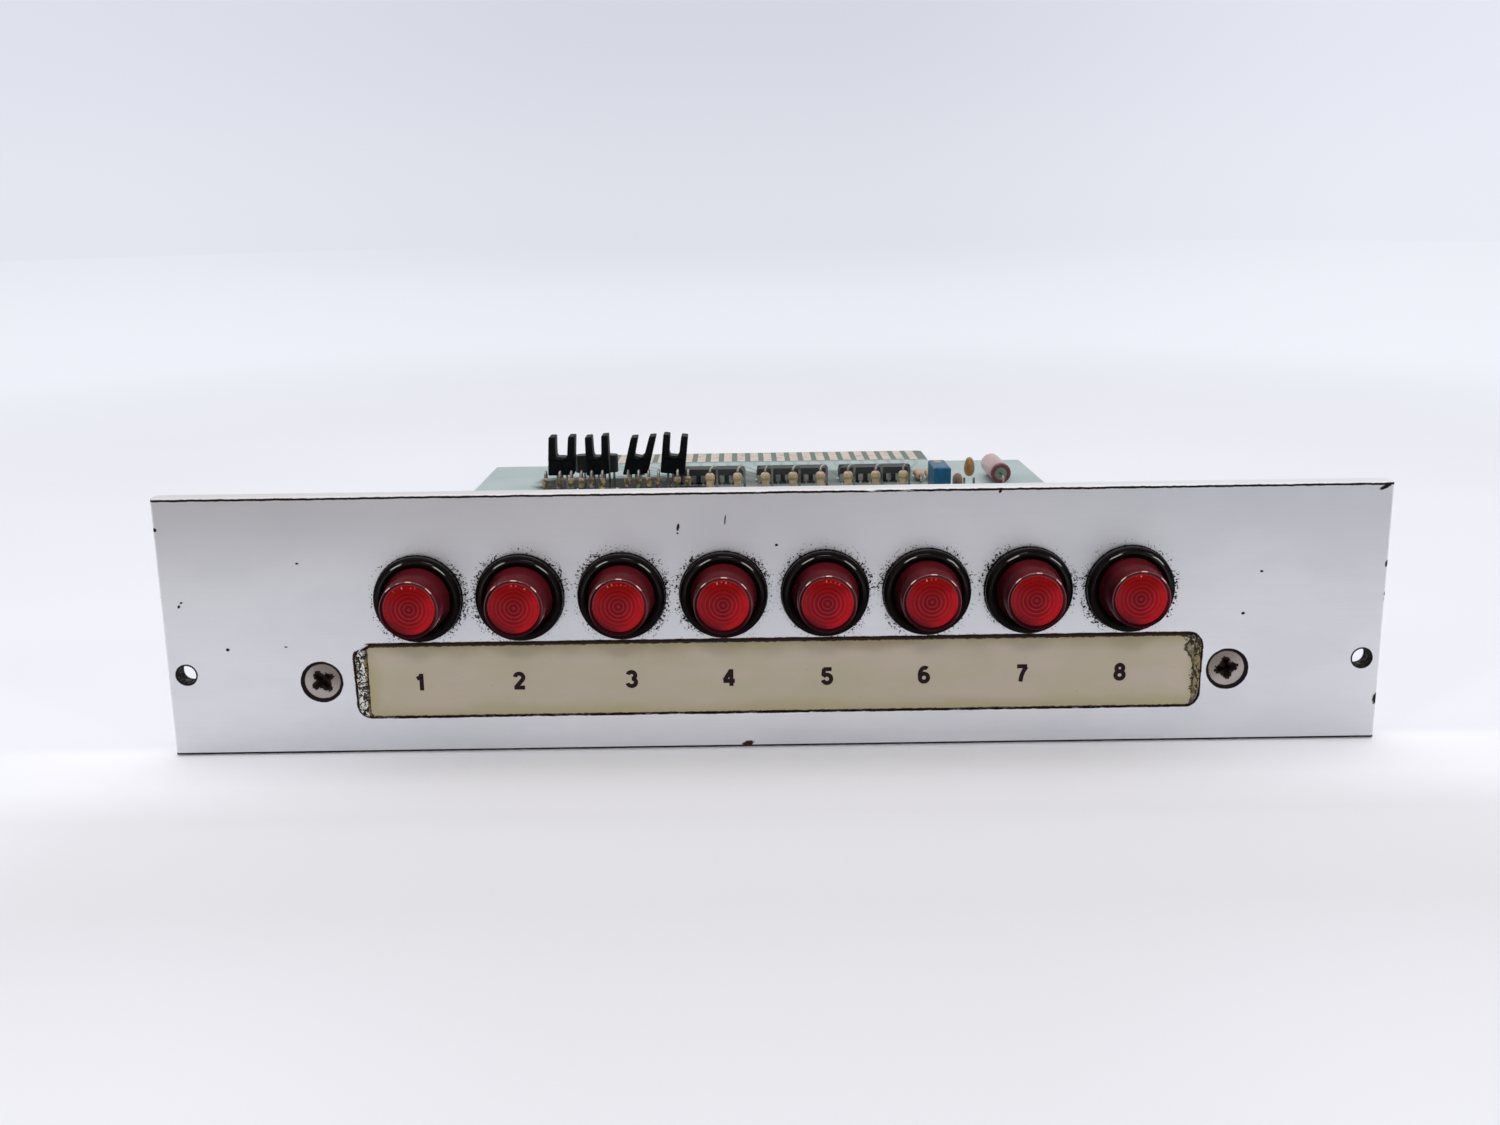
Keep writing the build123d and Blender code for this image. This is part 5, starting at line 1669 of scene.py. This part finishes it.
def spun(
    profile: np.ndarray, length: float, middle: Sequence[float], segments: int, axis: Axis = Axis.ALONG_Y
) -> Shape:
    """A turned component, centred on its CAD solid.

    Args:
        profile: Rows of radius and place along the axis from 0 to the length, in millimetres.
        length: The component's length.
        middle: The middle of its CAD solid, in metres.
        segments: Steps round the axis.
        axis: Which way the component lies.

    Returns:
        The shape, in metres.
    """
    return lathe((profile - (0.0, length / 2)) * MM, segments).along(axis).moved(middle)


@dataclass
class Components:
    """Everything soldered to the board, each at the place and size of its CAD solid."""

    golden_share: float = 0.618
    resistor_cap: float = 1.6
    waist: float = 0.8
    sink_lean: tuple[float, ...] = (3.0, -0.5, 14.0, 6.0)
    sink_width: tuple[float, ...] = (6.8, 6.0, 6.3, 6.4)
    sink_skew: tuple[float, ...] = (0.07, 0.07, 0.3, 0.0)
    sink_depth: float = 6.0
    sink_height: float = 10.1
    prong: float = 1.9
    collar_height: float = 4.2
    foot_radius: float = 1.3
    sink_row: float = 169.0
    sink_row_end: float = 170.0
    sink_base: float = 1.0
    driver_height: float = 4.6
    circuit_taper: float = 0.32
    notch_radius: float = 1.0
    lacquer: Colour = (0.60, 0.43, 0.27)
    small_lacquer: Colour = (0.36, 0.27, 0.17)

    def resistors(self, node: str, piece: str, axis: Axis, lacquer: Colour, dirt: float) -> None:
        """Dog-bone resistors with colour bands.

        The profile is two full-width caps with round edges, joined by a narrower waist.

        Args:
            node: The CAD node.
            piece: The new piece's name.
            axis: Which way the bodies lie.
            lacquer: Their body colour.
            dirt: How black the dark mottle on them is, from 0 to 1; dirt, and on the small resistors also
                painted shade.
        """
        bodies = []
        for number, (low, high) in enumerate(solids_of(node)):
            size = (high - low) / MM
            length = size[2] if axis is Axis.ALONG_Z else size[1]
            radius = size[0] / 2
            waist, cap = radius * self.waist, self.resistor_cap * radius / 1.15
            profile = eased(
                [(0.0, 0.0), (radius, 0.0), (radius, cap), (waist, cap + 0.4), (waist, length - cap - 0.4),
                 (radius, length - cap), (radius, length), (0.0, length)],
                [0.0, radius * 0.7, radius * 0.35, 0.3, 0.3, radius * 0.35, radius * 0.7, 0.0], steps=5,
            )
            body = spun(profile, length, (low + high) / 2, 20, axis)
            bodies.append(body.marked("which", number * self.golden_share % 1))
        finish = BandedFinish(f"{piece}_lacquer", "beige_lacquer", lacquer, dirt)
        make_piece(piece, Shape.joined(bodies), finish, stands_for=[node], crease=60.0)

    def diodes(self) -> None:
        """Glass-bead diodes: a barrel with round ends and a dark cathode band stored as a zone."""
        bodies = []
        for low, high in solids_of("clamp_diodes"):
            length, radius = (high - low)[1] / MM, (high - low)[0] / 2 / MM
            profile = eased(
                [(0.0, 0.0), (radius, 0.0), (radius, length * 0.68), (radius, length * 0.88),
                 (radius, length), (0.0, length)],
                [0.0, 0.5, 0.0, 0.0, 0.5, 0.0], steps=6,
            )
            body = spun(profile, length, (low + high) / 2, 24)
            share = body.marks["along"]
            bodies.append(body.marked("zone", ((share > 0.6) & (share < 0.8)).astype(float)))
        finish = ShellFinish("diode_moulded", "black_moulding", ((0.03, 0.03, 0.032), (0.50, 0.50, 0.48)))
        shape = Shape.joined(bodies)
        make_piece("clamp_diode_bodies", shape, finish, stands_for=["clamp_diodes"], crease=60.0)

    def circuits(self) -> None:
        """Dual-in-line bodies: rounded outlines that widen from the base to the pins and narrow to the top.

        Above the pins the left side's middle points follow a half circle, which cuts the notch.
        """
        for number in range(1, 6):
            node = f"integrated_circuit_{number}"
            low, high = (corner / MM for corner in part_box(node))
            centre = (low + high) / 2
            size = high - low
            side = np.linspace(-1.0, 1.0, 21)
            notch = np.sqrt(np.clip(1 - side**2, 0, 1)) * self.notch_radius
            notch_y = side * self.notch_radius

            def ring(inset: float, level: float, cut: bool) -> np.ndarray:
                """One outline at a height, with or without the notch."""
                half_x, half_y = size.x / 2 - inset, size.y / 2 - inset
                left = np.stack([-half_x + (notch if cut else 0 * notch), -notch_y], -1)
                signs = np.array([(-1, -1), (1, -1), (1, 1), (-1, 1)])
                outline = np.concatenate([left, signs * (half_x, half_y)])
                return np.c_[outline, np.full(len(outline), level)]

            middle, deep = (low.z + high.z) / 2, high.z - self.notch_radius
            share = (deep - middle) / (high.z - middle)
            inset = self.circuit_taper * share
            rings = np.stack([
                ring(self.circuit_taper, low.z, False), ring(0.0, middle - 0.12, False),
                ring(0.0, middle + 0.12, False), ring(inset, deep, False), ring(inset, deep + 0.001, True),
                ring(self.circuit_taper, high.z - 0.06, True), ring(self.circuit_taper + 0.06, high.z, True),
            ])
            rings[:, :, :2] += (centre.x, centre.y)
            body = loft(rings * MM)
            corners = [(0.0, 0.03), (0.35, 0.03), (0.5, 0.012), (0.62, 0.012), (0.62, -0.2), (0.0, -0.2)]
            dimple = eased(corners, [0.0, 0.1, 0.0, 0.0, 0.0, 0.0], steps=4)
            mark = lathe(dimple * MM, 20).along(Axis.ALONG_Z)
            mark = mark.moved(((low.x + 2.6) * MM, (low.y + 1.5) * MM, high.z * MM))
            mark.marks.clear()
            make_piece(f"circuit_body_{number}", Shape.joined([body, mark]), Finishes.moulding,
                       stands_for=[node], crease=25.0)

    def collar(self, width: float) -> Shape:
        """A sink's foot: a band between a circle and a rounded square, in millimetres."""
        outer = rounded_outline(width, self.sink_depth, 0.7, 9)
        outer_small = rounded_outline(width - 0.3, self.sink_depth - 0.3, 0.6, 9)
        inner = outer / np.linalg.norm(outer, axis=1, keepdims=True) * 2.5
        levels = ((inner, 0.0), (inner, self.collar_height), (outer_small, self.collar_height),
                  (outer, self.collar_height - 0.15), (outer, 0.15), (outer_small, 0.0))
        rings = np.stack([np.c_[outline, np.full(len(outline), level)] for outline, level in levels])
        return Shape(rings.reshape(-1, 3), [grid_faces(len(levels), len(outer), True, True)])

    def prongs(self, width: float) -> list[Shape]:
        """A sink's two prongs, in millimetres.

        Each is a rounded rectangle carried upwards. Its inner side follows a quarter circle at the foot and
        then leans out slightly.
        """
        total, foot = self.sink_height, self.collar_height
        turn = np.linspace(0.0, math.pi / 2, 7)
        height = np.concatenate([[foot - 0.3], foot + self.foot_radius * (1 - np.cos(turn)),
                                 [total - 0.25, total]])
        inside = np.concatenate([[1.25], self.foot_radius * (1 - np.sin(turn)), [0.0, -0.12]])
        slim = np.concatenate([np.zeros(len(turn) + 2), [0.12]])
        prongs = []
        for side in (-1, 1):
            stack = []
            for level, extra, less in zip(height, inside, slim):
                share = max((level - foot) / (total - foot), 0)
                breadth = self.prong - 0.2 * share + extra - less
                outline = rounded_outline(breadth, self.sink_depth - 0.3 * share - less, 0.25, 3)
                outline[:, 0] += side * (width / 2 - less - breadth / 2)
                stack.append(np.c_[outline, np.full(len(outline), level)])
            prongs.append(loft(np.stack(stack)))
        return prongs

    def heat_sinks(self) -> None:
        """Clip-on sinks, bent out of true: the skew raises each point by its X times the slope."""
        sinks = zip(self.sink_lean, self.sink_width, self.sink_skew)
        for number, (lean, width, skew) in enumerate(sinks, start=1):
            sink = Shape.joined([self.collar(width), *self.prongs(width)])
            sink.points[:, 2] += sink.points[:, 0] * skew
            sink = Shape(sink.points * MM, sink.faces).turned((0.0, math.radians(lean), 0.0))
            sink = sink.moved(self.sink_pivot(number))
            make_piece(f"sink_{number}", sink, Finishes.sink, stands_for=[f"heat_sink_{number}"], crease=40.0)

    def sink_pivot(self, number: int) -> np.ndarray:
        """The middle of the transistor's base, about which its sink leans; only the front row has sinks."""
        row = [box for box in solids_of("driver_transistors") if box[0][1] < self.sink_row_end * MM]
        low, high = sorted(row, key=lambda box: box[0][0])[number - 1]
        shift = self.driver_height * MM * math.sin(math.radians(self.sink_lean[number - 1])) / 2
        return np.array([(low[0] + high[0]) / 2 - shift, self.sink_row * MM, self.sink_base * MM])

    def bead(self) -> None:
        """The dipped capacitor: a drop that is fuller towards its foot."""
        low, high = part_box("tantalum_capacitor")
        height, radius = (high.z - low.z) / MM, (high.x - low.x) / 2 / MM
        turn = np.linspace(0.0, math.pi, 22)
        girth = radius * np.sin(turn) ** 0.85 * (1 + 0.12 * np.cos(turn))
        drop = np.stack([girth, height * (1 - np.cos(turn)) / 2], -1)
        drop[[0, -1], 0] = 0.0
        bead = spun(drop[::-1], height, (low + high) / 2, 36, Axis.ALONG_Z)
        make_piece("tantalum_bead", bead, Finishes.bead, stands_for=["tantalum_capacitor"])

    def axial(self) -> None:
        """The sleeved tube: towards -Y it has a groove round it, then a dark ring and a bare metal end."""
        low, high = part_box("axial_capacitor")
        length, radius = (high.y - low.y) / MM, (high.x - low.x) / 2 / MM
        corners = [(0.0, 0.25), (1.5, 0.25), (1.9, 0.0), (radius - 0.1, 0.0), (radius, 0.8), (radius, 2.1),
                   (radius - 0.22, 2.4), (radius, 2.7), (radius, length - 0.6), (radius - 0.3, length),
                   (radius * 0.6, length), (radius * 0.5, length - 0.3), (0.0, length - 0.3)]
        profile = eased(corners, [0.0, 0.2, 0.15, 0.4, 0.0, 0.2, 0.3, 0.2, 0.3, 0.3, 0.2, 0.1, 0.0], steps=5)
        body = spun(profile, length, (low + high) / 2, 40)
        from_axis = np.linalg.norm((body.points - np.array((low + high) / 2))[:, [0, 2]], axis=1) / MM
        from_end = (body.points[:, 1] - low.y) / MM
        zone = np.where(from_end > 1.0, 0.0, np.where(from_axis > 1.75, 1.0, 2.0))
        colours = ((0.38, 0.205, 0.185), (0.13, 0.016, 0.014), (0.25, 0.28, 0.22))
        finish = ShellFinish("axial_sleeve", "pink_sleeve", colours, metal_zone=2)
        body = body.marked("zone", zone)
        make_piece("axial_body", body, finish, stands_for=["axial_capacitor"], crease=40.0)

    def cans(self) -> None:
        """The upright cans: a groove near the foot and a bare top inside the sleeve's rolled edge."""
        cans = []
        for low, high in solids_of("reservoir_capacitors"):
            height, radius = (high - low)[2] / MM, (high - low)[0] / 2 / MM
            corners = [(0.0, 0.3), (radius - 0.8, 0.3), (radius - 0.5, 0.0), (radius, 0.3), (radius, 1.7),
                       (radius - 0.45, 2.1), (radius, 2.5), (radius, height), (radius - 0.7, height),
                       (radius - 0.9, height - 0.25), (0.0, height - 0.25)]
            profile = eased(corners, [0.0, 0.1, 0.1, 0.4, 0.3, 0.4, 0.3, 0.45, 0.15, 0.1, 0.0], steps=6)
            middle = (low + high) / 2
            can = spun(profile, height, middle, 48, Axis.ALONG_Z)
            reach = np.linalg.norm((can.points - middle)[:, :2], axis=1) / MM
            top = (can.points[:, 2] - low[2]) / MM > height - 0.35
            cans.append(can.marked("zone", (top & (reach < radius - 0.6)).astype(float)))
        colours = ((0.02, 0.035, 0.075), (0.55, 0.55, 0.54))
        finish = ShellFinish("can_sleeve", "capacitor_sleeve", colours, metal_zone=1)
        shape = Shape.joined(cans)
        make_piece("reservoir_cans", shape, finish, stands_for=["reservoir_capacitors"], crease=40.0)

    def discs(self) -> None:
        """The dipped discs, a little thicker towards their round rim."""
        discs = []
        for low, high in solids_of("disc_capacitors"):
            thickness, radius = (high - low)[0] / MM, (high - low)[1] / 2 / MM
            half = thickness / 2
            turn = np.linspace(0.0, math.pi, 14)
            rim = np.stack([radius - half + half * np.sin(turn), -half * np.cos(turn)], -1)
            swell = np.array([(0.0, -half * 0.82), (radius * 0.35, -half * 0.9)])
            profile = np.concatenate([swell, rim, (swell * (1, -1))[::-1]])
            discs.append(spun(profile, 0.0, (low + high) / 2, 40, Axis.ALONG_X))
        shape = Shape.joined(discs)
        make_piece("ceramic_discs", shape, Finishes.ceramic, stands_for=["disc_capacitors"], crease=60.0)

    def dress_nodes(self) -> None:
        """Finish the CAD nodes whose shapes stay."""
        dress("driver_transistors", Finishes.moulding)
        dress("trimmer_body", Finishes.trimmer_blue)
        dress("trimmer_screw", Finishes.brass)

    def build(self) -> None:
        """Make and dress every component."""
        self.dress_nodes()
        self.resistors("channel_resistors", "standing_resistors", Axis.ALONG_Z, self.lacquer, 0.25)
        # The small resistors' heavy dark mottle is partly dirt and partly painted shade from the heat sinks
        # round them.
        self.resistors("bias_resistors", "small_resistors", Axis.ALONG_Z, self.small_lacquer, 0.85)
        self.resistors("dropper_resistors", "lying_resistors", Axis.ALONG_Y, self.lacquer, 0.1)
        self.diodes()
        self.circuits()
        self.heat_sinks()
        self.bead()
        self.axial()
        self.cans()
        self.discs()


# ================================================================ studio
@dataclass
class Lamp:
    """A soft rectangular light: where it stands, what it looks at, its size in metres, power and colour."""

    name: str
    place: tuple[float, float, float]
    target: tuple[float, float, float]
    size: tuple[float, float]
    power: float
    colour: Colour = (1.0, 1.0, 1.0)

    def build(self) -> None:
        """Add the light."""
        light = bpy.data.lights.new(self.name, "AREA")
        light.shape = "RECTANGLE"
        light.size, light.size_y = self.size
        light.energy = self.power
        light.color = self.colour
        lamp = bpy.data.objects.new(self.name, light)
        lamp.location = self.place
        lamp.rotation_euler = (Vector(self.target) - Vector(self.place)).to_track_quat("-Z", "Y").to_euler()
        bpy.context.scene.collection.objects.link(lamp)


@dataclass
class Studio:
    """Camera, lights, world and the pale floor that the card lies on."""

    camera_place: tuple[float, float, float] = (-0.004409, -0.218131, 0.066558)
    pitch: float = 0.22961
    yaw: float = 0.00387
    roll: float = -0.01365
    focal_length: float = 35.52
    floor_reach: float = 1.6
    floor_colour: Colour = (0.80, 0.81, 0.86)
    floor_pale: Colour = (0.86, 0.87, 0.91)
    # Levels of the painted shadow that the floor shows, seen directly, by distance in front of the card.
    floor_shade: tuple[tuple[float, float], ...] = (
        (0.02, 1.0), (0.12, 0.95), (0.21, 0.79), (0.41, 0.735), (0.77, 0.775), (1.0, 0.83),
    )
    shade_reach: float = 130.0
    world_level: float = 0.83
    lamps: tuple[Lamp, ...] = (
        Lamp("light_top", (0.0, 0.14, 0.62), (0.0, 0.05, 0.0), (1.0, 0.5), 2.2, (1.0, 0.98, 0.98)),
        Lamp("light_front", (0.018, -0.565, 0.436), (0.0, 0.0, 0.011), (0.20, 0.06), 0.8),
        Lamp("light_left", (-0.28, -0.34, 0.25), (-0.02, 0.0, 0.011), (0.03, 0.09), 0.22),
        Lamp("light_right", (0.326, -0.34, 0.25), (0.02, 0.0, 0.011), (0.03, 0.09), 0.22),
    )

    def camera(self) -> None:
        """A camera pitched down and rolled slightly, with everything in focus."""
        level = math.cos(self.pitch)
        forward = Vector((math.sin(self.yaw) * level, math.cos(self.yaw) * level, -math.sin(self.pitch)))
        right = Vector((math.cos(self.yaw), -math.sin(self.yaw), 0.0))
        up = right.cross(forward)
        tilted_right = right * math.cos(self.roll) + up * math.sin(self.roll)
        tilted_up = up * math.cos(self.roll) - right * math.sin(self.roll)
        lens = bpy.data.cameras.new("camera_front")
        lens.lens = self.focal_length
        lens.sensor_width = 36.0
        lens.clip_start = 0.01
        lens.dof.use_dof = False
        camera = bpy.data.objects.new("camera_front", lens)
        turn = Matrix((tilted_right, tilted_up, -forward)).transposed().to_4x4()
        camera.matrix_world = Matrix.Translation(self.camera_place) @ turn
        bpy.context.scene.collection.objects.link(camera)
        bpy.context.scene.camera = camera

    def world(self) -> None:
        """A plain pale surround.

        Seen directly it is a soft gradient that is paler to the sides. The light that it casts is weaker from
        the near side, towards -Y, than from the far one.
        """
        world = bpy.data.worlds.new("world_pale")
        bpy.context.scene.world = world
        world.use_nodes = True
        bench = Bench(world.node_tree)
        coordinates = bench.node("ShaderNodeTexCoord", {}, {}, "Generated")
        outputs = bench.node("ShaderNodeSeparateXYZ", {}, {0: coordinates}).socket.node.outputs
        x, y, z = (Signal(bench, outputs[index]) for index in range(3))
        sky = bench.palette(z.rise(0.0, 0.14), ((0.0, (0.735, 0.755, 0.82)), (1.0, (0.665, 0.685, 0.77))))
        sides = x.rise(0.05, 0.45) * 0.55 + x.rise(-0.05, -0.45) * 0.3
        seen = bench.blend(sky, (0.89, 0.91, 1.0), sides)
        level = (y.rise(-0.9, 0.5) * 0.7 + 0.3) * self.world_level
        cast = bench.blend((0.0, 0.0, 0.0), (0.97, 0.97, 1.0), level)
        direct = bench.node("ShaderNodeLightPath", {}, {}, "Is Camera Ray")
        colour = bench.blend(cast, seen, direct)
        bench.output(bench.node("ShaderNodeBackground", {}, {"Color": colour, "Strength": 1.0}),
                     "ShaderNodeOutputWorld")

    def floor(self) -> None:
        """A wide pale sheet under the card, tilted so that the card's two lowest edges touch it."""
        panel_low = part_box("front_panel")[0]
        tongue_low, tongue_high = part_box("edge_contacts")
        slope = (tongue_low.z - panel_low.z) / tongue_high.y
        radius = np.array([0.0, 0.15, 0.3, 0.5, 0.8, 1.2, self.floor_reach])[:, None]
        angle = np.linspace(0.0, 2 * math.pi, 96, endpoint=False)[None, :]
        x, y = radius * np.cos(angle), radius * np.sin(angle) + 0.1
        z = panel_low.z - 0.00005 + slope * y
        points = np.stack([x, y, z], -1).reshape(-1, 3)
        faces = grid_faces(len(radius), 96, False, True)[:, ::-1]
        mesh = bpy.data.meshes.new("floor")
        mesh.from_pydata(points.tolist(), [], faces.tolist())
        mesh.materials.append(self.floor_paper())
        floor = bpy.data.objects.new("floor", mesh)
        bpy.context.scene.collection.objects.link(floor)

    def floor_paper(self) -> bpy.types.Material:
        """The floor's pale paper.

        Seen directly it carries a painted shadow, greyer in a band in front of the card by the levels of the
        shade, and far off it takes the colour of the surround. In the light that it throws back, its colour
        is painted darker in front, a painted shadow of the near side.
        """
        material = bpy.data.materials.new("floor_pale")
        material.use_nodes = True
        bench = Bench(material.node_tree)
        x, y, _ = bench.axes()
        reach = (x / 1000).diagonal((y - 100) / 1000)
        direct = bench.node("ShaderNodeLightPath", {}, {}, "Is Camera Ray")
        paper = bench.blend(self.floor_colour, self.floor_pale, bench.noise(0.01, detail=2.0))
        # Painted shadow, seen directly: darker in a band in front of the card, over its width, paler to the
        # sides further out.
        stops = tuple((place, (level, level * 0.99, level * 0.985)) for place, level in self.floor_shade)
        shade = bench.palette(y * (-1 / self.shade_reach), stops)
        aside = x / (y.most(-150.0) + 218.0)
        paler = abs(aside).rise(0.15, 0.5) * y.rise(-40.0, -90.0) * 0.35
        middle = abs(x).rise(135.0, 90.0) * (1.0 - paler)
        seen = bench.tint(shade, (0.95, 0.96, 1.0))
        paper = bench.blend(paper, seen, direct * middle * y.rise(2.0, -3.0))
        # Painted shadow seen only in what the floor throws back: darker towards the near side.
        front = (y + x * 0.12).rise(-70.0, -230.0) * (1.0 - direct) * 0.8
        near = bench.principled({
            "Base Color": bench.blend(paper, (0.10, 0.10, 0.11), front),
            "Roughness": 0.8,
            "Specular IOR Level": 0.2,
        })
        distant = bench.blend((0.84, 0.86, 0.93), (0.735, 0.755, 0.82), reach.rise(0.25, 1.6))
        sides = aside.rise(0.05, 0.45) * 0.6 + aside.rise(-0.05, -0.45) * 0.4
        distant = bench.blend(distant, (0.91, 0.93, 1.0), sides)
        far = bench.node("ShaderNodeEmission", {}, {"Color": distant, "Strength": 1.0})
        share = reach.rise(0.16, 0.5) * direct
        bench.output(bench.node("ShaderNodeMixShader", {}, {0: share, 1: near, 2: far}))
        return material

    def build(self) -> None:
        """Set up everything round the card."""
        scene = bpy.context.scene
        scene.view_settings.view_transform = "Standard"
        self.camera()
        self.world()
        for lamp in self.lamps:
            lamp.build()
        self.floor()


def main() -> None:
    """Build every sub-assembly and the studio round them."""
    logging.basicConfig(level=logging.INFO, format="%(name)s %(message)s")
    FrontPanel().build()
    for number in range(1, LAMP_COUNT + 1):
        LampUnit(number).build()
    Hardware().build()
    Board().build()
    Components().build()
    Studio().build()


if __name__ == "__main__":
    main()
